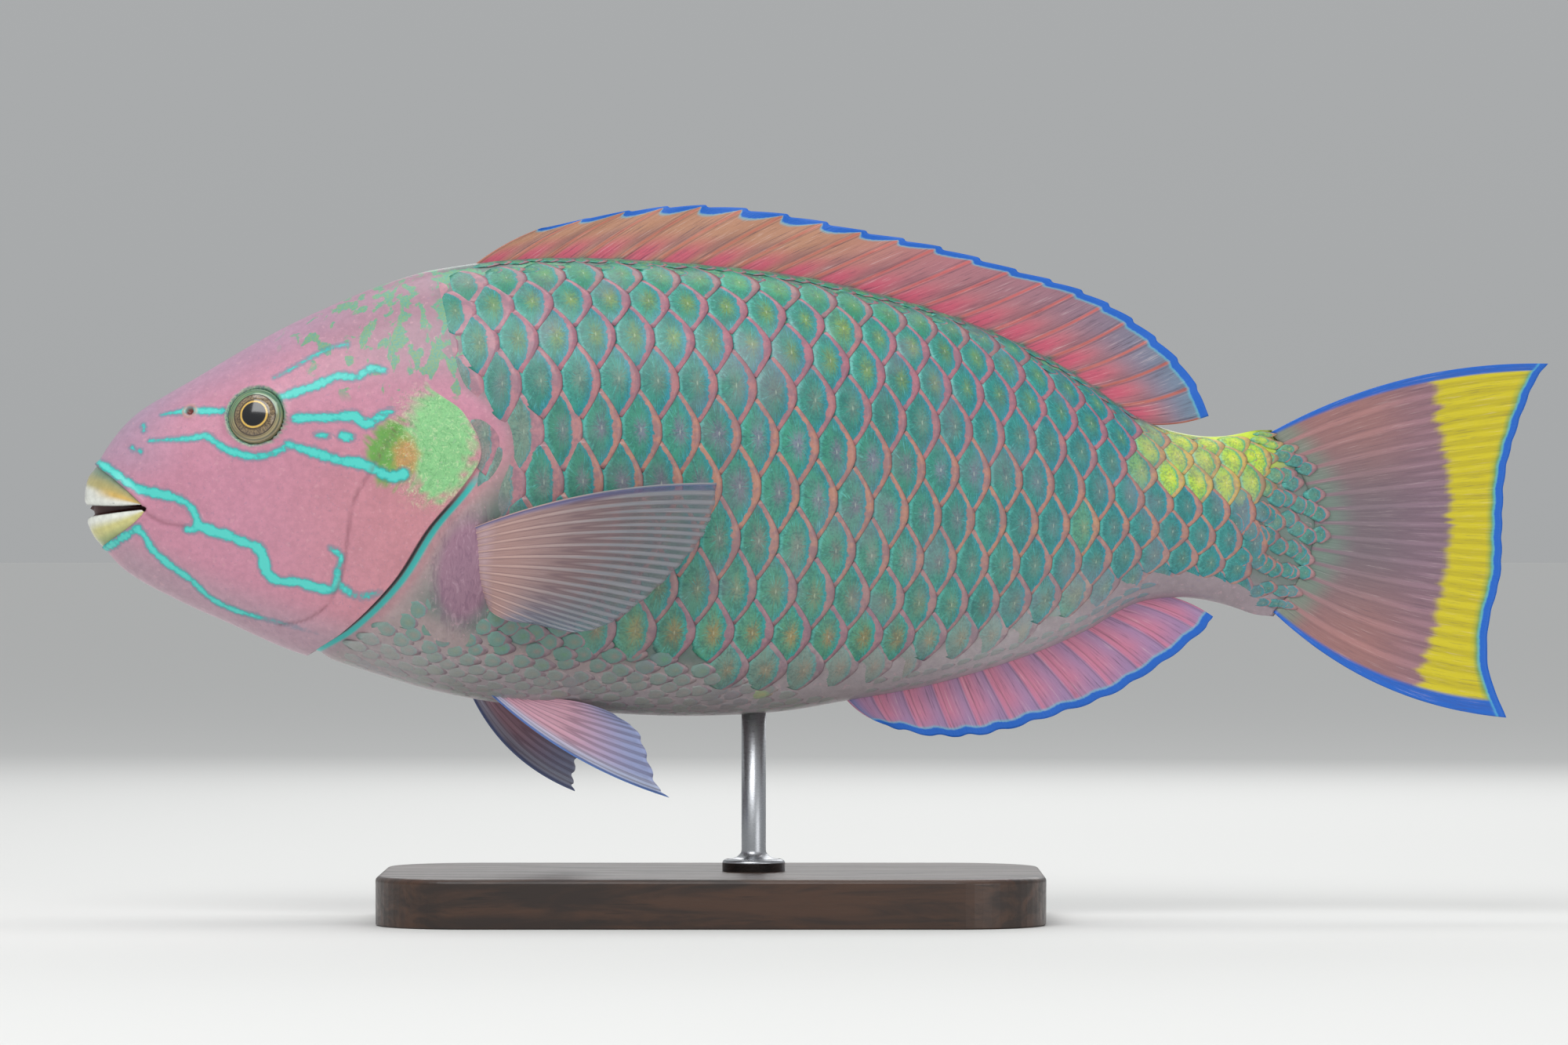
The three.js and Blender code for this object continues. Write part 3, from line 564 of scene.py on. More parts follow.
def build_skin():
    """The skin's grid, pushed in and out for the forms of the head, with the fields its material reads."""
    angle = np.arange(AROUND) / AROUND * 2 * np.pi
    margin = solve_s(angle, margin_s, 48, 122)[:, None]
    last = solve_s(angle, lambda h: stalk_end(h) - 2.5, 315, 361.5)[:, None]
    on_head = np.linspace(0, 1, HEAD_COLUMNS + 1)[1:] ** 1.55
    on_body = np.linspace(0, 1, BODY_COLUMNS + 1)[1:]
    s = np.concatenate([
        on_head * (margin + MARGIN_STEPS[0]),
        margin + MARGIN_STEPS[1:],
        (margin + MARGIN_STEPS[-1]) * (1 - on_body) + last * on_body,
    ], 1)
    columns = s.shape[1]
    a = np.repeat(angle[:, None], columns, 1)
    d = s - margin
    p = skin_at(s, a)
    h = p[..., 2]
    left = to_left(p.reshape(-1, 3))

    def from_place(centre):
        return np.linalg.norm(left - centre, axis=1).reshape(s.shape)

    def from_line(controls, count, reach):
        return distance_to(skin_line(controls, count), left, left[:, 0] < reach).reshape(s.shape)

    # the gill cover's free edge, the slit behind it and the pale fold inside the slit
    opening = gill_opening(h)
    rise = ramp(d, -26, -2) * 1.15 * (d <= 0.01) + 0.8 * (d > 0.01) * (d < 0.1)
    fall = -1.2 * ramp(d, 7.5, 2.2) * (d > 0.01)
    lift = opening * (0.35 + 0.65 * ramp(h, 12, -2)) * (rise + fall)
    # lips, with the skin sunk under the beak plates in front of them and the mouth between
    for lip in (UPPER_LIP, LOWER_LIP):
        lift += bump(from_line(lip, 60, 34), 1.5)
    under, slit = beak_recess(s, h)
    lift -= under * 2.0 + slit * (1 - 0.25 * under) * np.minimum(5.0, 1 + s * 0.5)
    # the eye's socket and its rim, and the nostril
    r_eye = from_place(eye_frame()[0])
    lift += 0.55 * bump(r_eye - SOCKET_RIM, 0.75) - 3.2 * ramp(r_eye, 8.4, 7.4)
    r_nose = from_place(side_point(*NOSTRIL_AT))
    lift += 0.3 * bump(r_nose - 1.7, 0.6) - 1.0 * ramp(r_nose, 1.4, 0.6)
    # the cheek plate's edge and the fold behind the corner of the mouth
    cheek = from_line(PREOPERCLE, 60, 120)
    lift -= 0.35 * bump(cheek, 0.6)
    lip_fold = from_line(LIP_FOLD, 40, 34)
    lift -= 0.45 * bump(lip_fold, 0.7)
    # the fleshy pad that carries the pectoral fin, the unevenness of flesh, and room for the scales
    pad = fin_pad(s, h)
    lift += 2.0 * pad
    flesh = wave_noise(left, 34, 3).reshape(s.shape)
    lift += 0.28 * flesh * ramp(s, 12, 40) * ramp(s, 88, 66)
    scaled = scaly(s, h, d)
    lift -= 0.25 * scaled
    p = p + normal_at(s, a) * lift[..., None]
    # the snout's tip and the tail's end close the sheet
    tail_end = p[:, -1].mean(0)
    points = np.concatenate([p.reshape(-1, 3), [SNOUT_TIP, tail_end]])
    first = np.arange(AROUND) * columns
    snout_fan = fan_faces(AROUND * columns, first)
    tail_fan = fan_faces(AROUND * columns + 1, first + columns - 1)[:, ::-1]
    obj = make("skin", points, grid_faces(AROUND, columns, wrap=True), snout_fan, tail_fan)

    def whole(values, snout=0, tail=0):
        """The grid's values, with those of the snout's tip and the tail's end after them."""
        return np.append(values.ravel(), [snout, tail])

    fold = ramp(h, 10, 3) * ramp(h, -52, -44) * ramp(d, 0.5, 1.1) * ramp(d, 3.5, 2.9)
    give(
        obj,
        base=skin_colour(points, whole(d, -50, 200), whole(scaled, 0, 1)),
        stripe=stripe_field(points),
        # dark: painted shade in the gill slit, just behind the gill cover's free edge
        dark=whole(opening * ramp(h, 8, -4) * ramp(d, 0.03, 0.08) * ramp(d, 1.3, 0.6)),
        fold=whole(fold),
        mouth=whole(np.maximum(slit, 0.8 * under), snout=1),
        ring=whole(ramp(r_eye, 9.3, 8.7)) * 0.8,
        nose=whole(ramp(r_nose, 1.5, 0.8)),
        nose_ring=whole(bump(r_nose - 1.9, 0.45)),
        # painted shade along the cheek plate's edge and in the fold behind the corner of the mouth
        crease=whole(np.maximum(bump(cheek, 0.55), 0.8 * bump(lip_fold, 0.6))),
        flecks=whole(ramp(h, 26, 40) * ramp(s, 46, 96) * ramp(r_eye, 12, 26)),
        pad=whole(pad),
        patch=patch_field(points) * whole(d < 0.05),
    )
    uv = np.stack([s / SKIN_END, a / (2 * np.pi)], -1).reshape(-1, 2)
    give_uv(obj, np.concatenate([uv, [[0, 0.5], [1, 0.5]]]))
    return obj


def fin_pad(s, h):
    """1 in the middle of the pad at the pectoral fin's root, 0 away from it."""
    return np.exp(-(((s - 110.5 - 0.12 * (h + 19)) / 7.5) ** 2) - ((h + 19.5) / 13.5) ** 2)


def scaly(s, h, d):
    """Where full scales cover the skin: behind the gills and the nape, above the belly."""
    low = belly(s) + np.interp(s, [60, 110, 190, 250, 300, 362], [30, 16, 9, 8, 5, 3])
    return ramp(d, 5, 16) * ramp(h, low, low + 7)


def patch_field(p):
    """1 in the pale patch on the gill cover, 0 away from it."""
    return ramp(oval(p[:, 0], p[:, 2], (100.5, 15.5), (17, 21)), 0.05, 0.25)


def skin_colour(p, d, scaled):
    """The flesh colour at each point, d mm behind the gill cover's edge."""
    s, h = p[:, 0], p[:, 2]
    over_keel = h - belly(np.clip(s, 0, SKIN_END))
    on_head = d < 0.05
    over_brow = h - np.interp(s, [0, 30, 60, 110], [8, 24, 38, 58])
    under_tail = ramp(s, 270, 320)
    ragged = wave_noise(p, 5, 11) * 0.10 + wave_noise(p, 2.2, 12) * 0.08
    green = oval(s, h, (90, 14), (9.5, 11.5))
    pale = oval(s, h, (103.5, 16.5), (13, 20.5))
    orange = oval(s, h, (93.5, 12.5), (5.2, 8.5))
    return tint(
        np.repeat(srgb(*ROSE)[None], len(p), 0),
        (ROSE_WARM, ramp(s, 40, 100) * ramp(h, 30, 0)),
        (MAUVE, ramp(over_brow, -2, 12) * 0.62),
        ((166, 130, 144), ramp(s, 50, 96) * ramp(h, 28, 46) * 0.9),
        (BROW, ramp(s, 34, 12) * ramp(h, 2, 14) * 0.5),
        (CHIN, ramp(over_keel, 17, 4) * ramp(s, 2, 14) * 0.9),
        (BREAST, ramp(d, 0.5, 8) * ramp(h, 24, -8) * 0.85),
        (BELLY, ramp(over_keel, 16, 5) * ramp(s, 60, 110) * (1 - 0.6 * under_tail)),
        ((95, 120, 112), scaled * 0.9),
        # the yellow-green patch behind the eye, on the gill cover
        (PATCH_GREEN, ramp(green + ragged - 0.12 * (green <= 0), 0.10, 0.26) * on_head),
        (PATCH_PALE, ramp(pale + ragged - 0.2 * (pale <= 0), 0.08, 0.4) * on_head),
        (PATCH_ORANGE, ramp(orange + ragged * (orange > 0), 0.1, 0.6) * 0.9 * on_head),
        # duller under the tail stalk, and yellow over it
        ((150, 134, 142), ramp(s, 262, 305) * ramp(over_keel, 15, 5) * 0.85),
        (YELLOW, ramp(oval(s, h, (326, 14), (24, 14)), 0, 0.5)),
    )


def skin_material():
    m = Shader("fish skin", Roughness=0.42, Coat_Weight=0.25, Coat_Roughness=0.2)
    m.set("Specular IOR Level", 0.45)
    place = m.place()
    grain = m.noise(place, 500, 4, 0.6)
    fine = m.noise(place, 1700, 3, 0.6)
    cloud = m.noise(place, 90, 3, 0.55)
    tone = m.linear(m.ramp(grain, 0.3, 0.72), 0.14, m.linear(cloud, 0.16, 0.84))
    colour = m.paint(
        m.shaded(m.colour("base"), tone),
        ((128, 118, 150), m.ramp(m.noise(place, 1300, 3, 0.65), 0.58, 0.70), 0.28),
        ((226, 176, 186), m.ramp(m.noise(place, 700, 2, 0.5), 0.62, 0.72), 0.25),
    )
    # flecks on the nape in the place of its small scales
    flecks = m.number("flecks")
    islands = m.noise(m.stretched((230, 230, 140), -0.3), 1.0, 3, 0.55, 0.5)
    isle = m.ramp(m.linear(flecks, 0.115, islands), 0.610, 0.655)
    isle_tone = m.paint(srgb(62, 168, 140), ((112, 172, 112), m.ramp(fine, 0.4, 0.6)))
    colour = m.mix(colour, isle_tone, m.times(isle, m.ramp(flecks, 0.0, 0.3), 0.8))
    # the pad of the pectoral fin with painted shade in its wrinkles and painted highlight on their crests,
    # and fibres in the patch on the gill cover
    pad = m.number("pad")
    on_pad = m.ramp(pad, 0.03, 0.25)
    pad_fold_shading = m.noise(m.stretched((620, 300, 210), 0.35), 1.0, 3, 0.6, 1.6)
    in_patch = m.number("patch")
    fibres = m.noise(place, 800, 4, 0.75, 1.2)
    # the turquoise markings, ragged and with a dull border
    edge = m.plus(m.number("stripe"), m.linear(m.noise(place, 900, 2), 1.1, -0.55))
    across = m.plus(edge, m.times(grain, 0.6))
    stripe = m.paint(srgb(84, 216, 205), ((30, 176, 172), m.ramp(across, -0.5, 0.4)))
    colour = m.paint(
        colour,
        ((160, 116, 140), m.ramp(pad, 0.10, 0.5), 0.85),
        # painted shade in the pad's wrinkles, then painted highlight on their crests
        ((112, 76, 104), m.ramp(pad_fold_shading, 0.50, 0.66), on_pad, 0.35),
        ((206, 172, 186), m.ramp(pad_fold_shading, 0.46, 0.32), on_pad, 0.25),
        ((206, 232, 176), m.ramp(fibres, 0.53, 0.66), in_patch, 0.6),
        ((84, 152, 92), m.ramp(fibres, 0.47, 0.34), in_patch, 0.6),
        ((70, 130, 150), m.ramp(edge, 1.0, 0.2), 0.45),
    )
    colour = m.mix(colour, stripe, m.ramp(edge, 0.30, -0.35))
    colour = m.paint(
        colour,
        # painted shade in the cheek plate's edge and the lip fold
        ((120, 66, 82), m.number("crease"), 0.55),
        ((60, 195, 190), m.number("fold")),
        # painted shade: near black in the gill slit under the cover's edge
        ((18, 26, 30), m.number("dark")),
    )
    ring = m.paint(srgb(120, 190, 140), ((50, 130, 120), m.ramp(fine, 0.4, 0.6)))
    colour = m.paint(
        m.mix(colour, ring, m.number("ring")),
        ((196, 150, 140), m.number("nose_ring"), 0.9),
        ((130, 52, 44), m.number("nose")),
        ((84, 40, 38), m.ramp(m.number("mouth"), 0.1, 0.7)),
    )
    m.set("Base Color", colour)
    m.relief(m.plus(m.times(grain, 0.6), m.times(fine, 0.4)), 0.25, 0.0004)
    return m.material


# Scales: separate overlapping plates in staggered rows.

# Rows run from -4 near the ridge of the back to 6 near the keel, with row 0 a little above the middle.
ROW_ZERO = ([60, 115, 150, 190, 235, 316, 362], [80, 78, 75.7, 75.7, 81.7, 83.7, 84])  # degrees of section
ROW_STEP = ([60, 200, 235, 275, 316, 345, 362], [13.3, 13.3, 13.7, 16.3, 19, 20, 20.4])
PITCH = (
    [60, 85, 105, 120, 205, 220, 235, 270, 316, 340, 362],
    [7.5, 9.2, 10.6, 11.1, 11.1, 10.1, 9.6, 9, 8.2, 7.2, 6],
)
FULL_PITCH = 11.1  # of the largest scales, mm
BREAST_PITCH = 7.4
FIRST_S = 183.0  # a scale's middle in row 0
BOW = 5.4  # how far a column leans forward 64 degrees away from its middle, mm
TIP = 0.80  # half a scale's height, in rows
MAP_START, MAP_LENGTH = 40, 335  # of the flank on the map for baking, mm


def row_angle(s, row):
    """The section angle of a row's middle line at s."""
    return np.radians(np.interp(s, *ROW_ZERO) + row * np.interp(s, *ROW_STEP))


def bow(angle):
    """How far behind its place in row 0 a column lies at an angle."""
    return -BOW * ((np.degrees(angle) - 90) / 64) ** 2


def column_places():
    """Where scales sit along row 0, with the half steps between, and which of them is FIRST_S."""
    ahead, behind = [FIRST_S], []
    while ahead[-1] < 366:
        ahead.append(ahead[-1] + np.interp(ahead[-1], *PITCH) / 2)
    s = FIRST_S
    while s > 62:
        s -= np.interp(s, *PITCH) / 2
        behind.append(s)
    return np.array(behind[::-1] + ahead), len(behind)


ROW_LOOKS = {
    # row: colours of core, middle, far part and free edge
    -4: ((105, 160, 85), (30, 150, 108), (18, 142, 128), (160, 120, 122)),
    -3: ((140, 158, 66), (30, 148, 124), (14, 142, 150), (176, 112, 126)),
    -2: ((138, 152, 76), (32, 146, 126), (14, 138, 160), (178, 112, 126)),
    -1: ((118, 140, 124), (42, 142, 124), (22, 134, 154), (178, 118, 122)),
    0: ((126, 122, 142), (56, 146, 120), (30, 136, 150), (184, 128, 112)),
    1: ((126, 124, 138), (64, 146, 122), (38, 140, 148), (184, 132, 112)),
    3: ((130, 143, 112), (75, 150, 124), (45, 150, 148), (168, 130, 130)),
    4: ((165, 140, 85), (80, 150, 120), (45, 165, 150), (165, 125, 135)),
    6: ((150, 140, 115), (105, 150, 135), (80, 160, 150), (155, 130, 138)),
}


def row_look(row, part):
    """One colour of the rows, between the rows of the table too."""
    rows = sorted(ROW_LOOKS)
    colours = np.array([srgb(*ROW_LOOKS[r][part]) for r in rows])
    return np.stack([np.interp(row, rows, colours[:, k]) for k in range(3)], -1)


def scale_outline(b):
    """The rear edge of a plate, in pitches behind its middle, at b rows above or below it."""
    slant = np.clip((np.abs(b) - 0.10) / (TIP - 0.10), 0, 1)
    return 0.5 * (1 - slant**1.35)


def large_cells():
    """Every full scale: s, section angle, pitch, row step, row and distance behind the gill cover."""
    places, zero = column_places()
    cells = []
    for row in range(-4, 7):
        for k, place in enumerate(places):
            if (k - zero + row) % 2:
                continue
            angle = row_angle(place, row)
            s = place + bow(angle)
            angle = float(row_angle(s, row))
            if not 0.33 < angle < np.pi - 0.28 or s > 337:
                continue
            h = height_at(s, angle)
            d = s - margin_s(h)
            if s < scales_start(h) or in_small_field(s, h) or fin_pad(s, h) > 0.25:
                continue
            cells.append((s, angle, np.interp(place, *PITCH), np.radians(np.interp(s, *ROW_STEP)), row, d))
    return np.array(cells)


def scales_start(h):
    """Where the large scales begin at height h."""
    heights = [-60, -30, -5, 8, 22, 34, 40, 48, 60, 75]
    return np.interp(h, heights, [110, 112, 117, 119, 114, 105, 93, 84, 78, 74])


def in_small_field(s, h):
    """Whether a place belongs to the breast, with its small scales."""
    return h < np.interp(s, [90, 120, 150, 190, 230], [-14, -26, -40, -51, -60])


def small_cells(rand):
    """Small scales in the same way: on the breast, over the tail fin's root and along the fins' feet."""
    cells = []

    def patch(s_range, angle_range, pitch, step, keep, row, jitter):
        """Staggered columns of scales over a range of s and angle, where keep says."""
        s, odd = s_range[0], 0
        while s < s_range[1]:
            size, high = pitch(s), step(s)
            for i in range(int((angle_range[1] - angle_range[0]) / high) + 2):
                a = angle_range[0] + (i + 0.5 * (odd % 2)) * 2 * high
                if a > angle_range[1]:
                    break
                place = s + rand.normal() * jitter * size * 0.5 + bow(a)
                turn = a + rand.normal() * jitter * high
                h = height_at(place, turn)
                d = place - margin_s(h)
                if keep(place, h, d, turn):
                    cells.append((place, turn, size, high, row, d))
            s += size / 2
            odd += 1

    def beside_fin(rows, first, later, end, high, row, d, at_keel=False):
        """Two rows along a fin's foot, each with its distance from the fin and its pitch in mm."""
        for number, (away, pitch) in enumerate(rows):
            s = first + later * number
            while s < end:
                half = float(half_height(s))
                a = np.arccos(1 - (away + 0.25 * rand.normal()) / half)
                a = np.pi - a if at_keel else a
                cells.append((s, a, pitch * (1 + 0.12 * rand.normal()), high / half**0.5 / 8, row, d))
                s += pitch * 0.8

    def on_breast(s, h, d, a):
        if d <= 12 or not 74 < s < 250 or a >= np.pi - 0.08:
            return False
        return in_small_field(s, h) and fin_pad(s, h) < 0.3

    def on_tail_root(s, h, d, a):
        gap = stalk_end(h) - s
        return 334 + 4 * np.cos(2 * a) < s and gap > -1 and rand.random() < ramp(gap, -4, 7)

    def breast_step(s):
        return 0.62 * BREAST_PITCH / float(half_height(s))

    def tail_pitch(s):
        return float(np.interp(s, [330, 360], [6.8, 4.8]))

    def tail_step(s):
        return 0.66 * tail_pitch(s) / float(half_height(s))

    breast_angles, tail_angles = (np.pi / 2, np.pi - 0.1), (0.32, np.pi - 0.32)
    patch((66, 250), breast_angles, lambda s: BREAST_PITCH, breast_step, on_breast, 5.5, 0.2)
    patch((320, 362), tail_angles, tail_pitch, tail_step, on_tail_root, 2, 0.25)
    beside_fin(((1.2, 5.6), (3.3, 6.6)), 116.0, 2.6, 320, 3.6, -3.9, 60)
    beside_fin(((1.6, 5.4), (4.2, 6.0)), 226.0, 2.4, 308, 3.4, 5.6, 90, at_keel=True)
    return np.array(cells)


def plate_colours(small, s, h, d, row, wobble, rand):
    """Colours of each plate from its middle outwards, how near the head it lies and how soft it looks."""
    over_keel = h - belly(s)
    near = ramp(d, 46, 6) * ramp(h, -34, 10)
    beside_gill = ramp(d, 22, 6) * ramp(h, 44, 28)
    breast = np.maximum(ramp(s, 185, 115) * ramp(h, -12, -34), ramp(row, 5.2, 5.5) * small)
    rearward = ramp(s, 215, 300)
    upward = ramp(row, 1.0, -2.0)[:, None]
    shade = (1 - (0.30, 0.10, 0.08) * upward) * (1 - (0.34, 0.08, 0.0) * rearward[:, None])
    low = ramp(over_keel, 18, 6) * ramp(s, 318, 270)
    yellow = ramp(oval(s, h, (323, 13), (27, 17)) + 0.05 * wobble[:, 5], 0.05, 0.45)
    root = ramp(s, 336, 352) * small
    dull = ((176, 168, 168), low * 0.72)
    core, mid, far, edge = (row_look(row, part) for part in range(4))
    # pinker towards the head, greyer on breast and belly
    core = core * (1 + 0.10 * wobble[:, 3, None])
    core = tint(core, ((120, 150, 125), near * 0.7), ((136, 156, 138), beside_gill * 0.7))
    breast_core = mix(srgb(150, 145, 140), srgb(90, 160, 125), rand.random(len(s)) ** 2)
    core = mix(core, breast_core, breast * 0.85)
    mid = tint(
        mid * (1 + 0.08 * wobble[:, 4, None]),
        ((85, 155, 130), near * 0.4),
        ((166, 142, 142), beside_gill * 0.8),
        ((116, 152, 142), breast * 0.8),
    )
    far = tint(far, ((156, 146, 144), beside_gill * 0.8), ((124, 152, 150), breast * 0.8))
    # darker above, bluer to the rear, yellow over the tail stalk
    core = tint(core * shade, ((80, 140, 118), rearward * 0.55), dull, ((225, 235, 60), yellow))
    mid = tint(
        mid * shade,
        ((22, 134, 140), rearward * 0.6),
        dull,
        ((185, 220, 60), yellow),
        ((90, 150, 130), root * 0.7),
    )
    far = tint(far * shade, ((10, 130, 165), rearward * 0.5), dull, ((120, 200, 80), yellow * 0.85))
    edge = tint(
        edge,
        ((182, 128, 142), near * 0.95),
        ((162, 142, 148), breast * 0.95),
        dull,
        ((220, 195, 80), yellow * 0.7),
        ((165, 125, 130), root * 0.9),
    )
    soft = np.maximum(np.maximum(breast * 0.95, low * 0.8), near * 0.25)
    return (core, mid, far, edge), near, soft


def build_scales(side, kind):
    """One side's large or small plates. side is -1 on the left, +1 on the right."""
    small = kind == "small"
    rand = np.random.default_rng((5 if side < 0 else 6) + (10 if small else 0))
    cells = small_cells(rand) if small else large_cells()
    many_along, many_across = (5, 9) if small else (8, 15)
    thickness = 0.2 if small else 0.3
    count, per = len(cells), many_along * many_across

    def over(values):
        """One number for each plate, ready for the plates' grids."""
        return values[:, None, None]

    s0, angle0, pitch, step, row, d0 = cells.T
    h0 = height_at(s0, angle0)
    wobble = rand.normal(size=(count, 6))
    full = ramp(d0, 4, 44) * ramp(h0 - belly(s0), 2, 16) * (0.4 if small else 1.0)
    b = np.linspace(-TIP, TIP, many_across)
    w = np.linspace(0, 1, many_along)[:, None] ** 0.8
    rear = scale_outline(b)
    front = -0.68 * (1 - (np.abs(b) / TIP) ** 2.2) - 0.02
    x = front * (1 - w) + rear * w
    bb = np.broadcast_to(b, x.shape)
    # every plate's grid on the body, leaning with its column
    a = over(angle0) + bb * over(step) * (1 + 0.02 * over(wobble[:, 1]))
    s = over(s0) + x * over(pitch) * (1 + 0.03 * over(wobble[:, 0]))
    s = s + bow(a) - bow(over(angle0))
    a = np.clip(a, 0.03, np.pi - 0.03)
    tilt = np.clip(x + 0.5, -0.16, 1.1)
    edge_fall = 0.16 * ramp(rear - x, 0.07, 0.0)
    raised = over(0.06 + 0.40 * full) * (1 + 0.15 * over(wobble[:, 2]))
    size = over(pitch / FULL_PITCH)
    cup = 0.10 * np.cos(np.pi * bb / 2 / TIP) * over(full) * size
    sink = 0.4 * ramp(x, -0.40, -0.60)
    over_fin = np.maximum(0, 0.85 - np.abs(skin_at(s, a)[..., 1])) * ramp(s, 330, 342)
    lift = raised * tilt * size - edge_fall - sink + cup - 0.14 + 0.10 * over(full) + over_fin
    if small:
        lift = lift + 0.17
    out = normal_at(s, a)
    top = skin_at(s, a) + out * lift[..., None]
    bottom = top - out * thickness
    points = np.concatenate([top.reshape(count, -1, 3), bottom.reshape(count, -1, 3)], 1)
    one = sheet_faces(many_along, many_across)
    if side > 0:
        points = points * (1, -1, 1)
        one = one[:, ::-1]
    faces = (one + over(np.arange(count) * 2 * per)).reshape(-1, 4)
    name = ("small_scales_" if small else "scales_") + ("left" if side < 0 else "right")
    obj = make(name, points.reshape(-1, 3), faces)
    # fields the material reads: rim and seen in mm of a full-sized scale, lx and ly from -1 to 1
    relative = FULL_PITCH * size**0.3
    slant = 1 + 0.55 * ramp(np.abs(bb), 0.12, 0.42)
    previous = np.maximum(-1 + scale_outline(b), -0.5 + scale_outline(1 - np.abs(b)))

    def both(values):
        """Values of the plates' grids, for the top and then for the bottom of each plate."""
        values = np.broadcast_to(values, (count, many_along, many_across)).reshape(count, -1)
        return np.concatenate([values, values], 1).ravel()

    def each(values):
        return np.repeat(values, 2 * per, axis=0)

    colours, near, soft = plate_colours(small, s0, h0, d0, row, wobble, rand)
    give(
        obj,
        rim=both((rear - x) * slant * relative),
        seen=both((x - previous) * relative),
        lx=both((x + 0.03) * 2),
        ly=both(bb / TIP),
        chance=each(rand.random(count)),
        full=each(full),
        near=each(near),
        soft=each(soft),
        **{part: each(colour) for part, colour in zip(("core", "mid", "far", "edge"), colours)},
    )
    # each plate's patch of the map lies at its place on an unwrap of the flank, its underside in one strip
    high = over(step / np.pi)
    middle_u, middle_v = over((s0 - MAP_START) / MAP_LENGTH), over(angle0 / np.pi)
    u = middle_u + (x + 0.08) * 0.84 * over(pitch) / MAP_LENGTH
    v_top = middle_v + (bb * 0.86 - 0.03) * high
    v_low = middle_v + (bb * 0.86 * 0.03 + 0.75) * high
    faces_uv = [np.stack([u, v], -1).reshape(count, -1, 2) for v in (v_top, v_low)]
    give_uv(obj, np.concatenate(faces_uv, 1).reshape(-1, 2))
    return obj


def scale_material():
    """Each plate's colours from its middle outwards, broken up by rays, with a coloured free edge."""
    m = Shader("fish scales", Roughness=0.36, Coat_Weight=0.35, Coat_Roughness=0.18)
    m.set("Specular IOR Level", 0.5)
    place = m.place()
    lx, ly = m.number("lx"), m.number("ly")
    chance = m.number("chance")
    radius = m.math("SQRT", m.plus(m.math("POWER", lx, 2), m.math("POWER", ly, 2)))
    angle = m.math("ARCTAN2", ly, lx)
    bold = m.linear(m.number("soft"), -0.85, 1.0)
    star = m.vector(m.times(angle, 3.6), m.times(radius, 0.7), m.times(chance, 60))
    rays = m.noise(star, 3.2, 5, 0.75)
    grit = m.noise(place, 1500, 3, 0.6)
    cloud = m.noise(place, 330, 3, 0.6)
    broad = m.noise(place, 60, 2, 0.5)
    reach = m.plus(radius, m.linear(rays, 1.9, -0.95))
    rearward = m.plus(reach, m.times(lx, 0.65))
    colour = m.mix(m.colour("core"), m.colour("mid"), m.ramp(reach, 0.02, m.linear(chance, 0.22, 0.40)))
    colour = m.mix(colour, m.colour("far"), m.ramp(rearward, 0.45, 1.0))
    # front: a painted highlight, a pale line where the plate comes out from under the plate ahead
    front = m.times(m.ramp(m.number("seen"), 1.3, 0.1), m.ramp(m.unsigned(ly), 0.7, 0.15))
    dark = m.ramp(m.linear(grit, 0.6, m.times(cloud, 0.5)), 0.5, 0.66)
    spot = m.ramp(m.plus(radius, m.times(m.unsigned(lx), 0.8)), 0.10, 0.03)
    rim = m.plus(m.number("rim"), m.linear(m.noise(place, 620, 3, 0.65), 2.6, -1.3))
    past_border = m.minus(rim, m.linear(m.number("near"), 1.4, 2.5))
    beside = m.ramp(m.unsigned(m.minus(past_border, 0.45)), 0.5, 0.0)
    colour = m.paint(
        colour,
        # painted highlight along the front of the plate's seen part
        ((95, 205, 195), front, bold, 0.6),
        ((110, 205, 200), m.ramp(rays, 0.55, 0.68), bold, 0.6),
        ((8, 84, 92), m.ramp(rays, 0.46, 0.32), bold, 0.7),
        ((16, 84, 90), dark, bold, 0.42),
        ((150, 120, 150), m.ramp(broad, 0.5, 0.7), 0.28),
        ((205, 225, 200), spot, bold, 0.35),
        ((30, 150, 165), beside, bold, 0.5),
    )
    border = m.paint(
        m.colour("edge"),
        ((204, 152, 146), m.ramp(grit, 0.5, 0.7), 0.3),
        ((122, 100, 118), m.ramp(cloud, 0.40, 0.6), 0.5),
    )
    colour = m.mix(colour, border, m.ramp(past_border, 0.25, -0.3))
    outline = m.ramp(m.number("rim"), 0.30, 0.05)
    colour = m.paint(colour, ((105, 66, 80), outline, m.linear(m.number("full"), 0.45, 0.15)))
    m.set("Base Color", colour)
    m.set("Roughness", m.ramp(grit, 0.2, 0.8, 0.28, 0.5))
    m.relief(m.plus(m.times(rays, 0.8), m.times(grit, 0.4)), 0.35, 0.0004)
    return m.material


# Fins: thin closed sheets, each ray a low ridge on both faces.

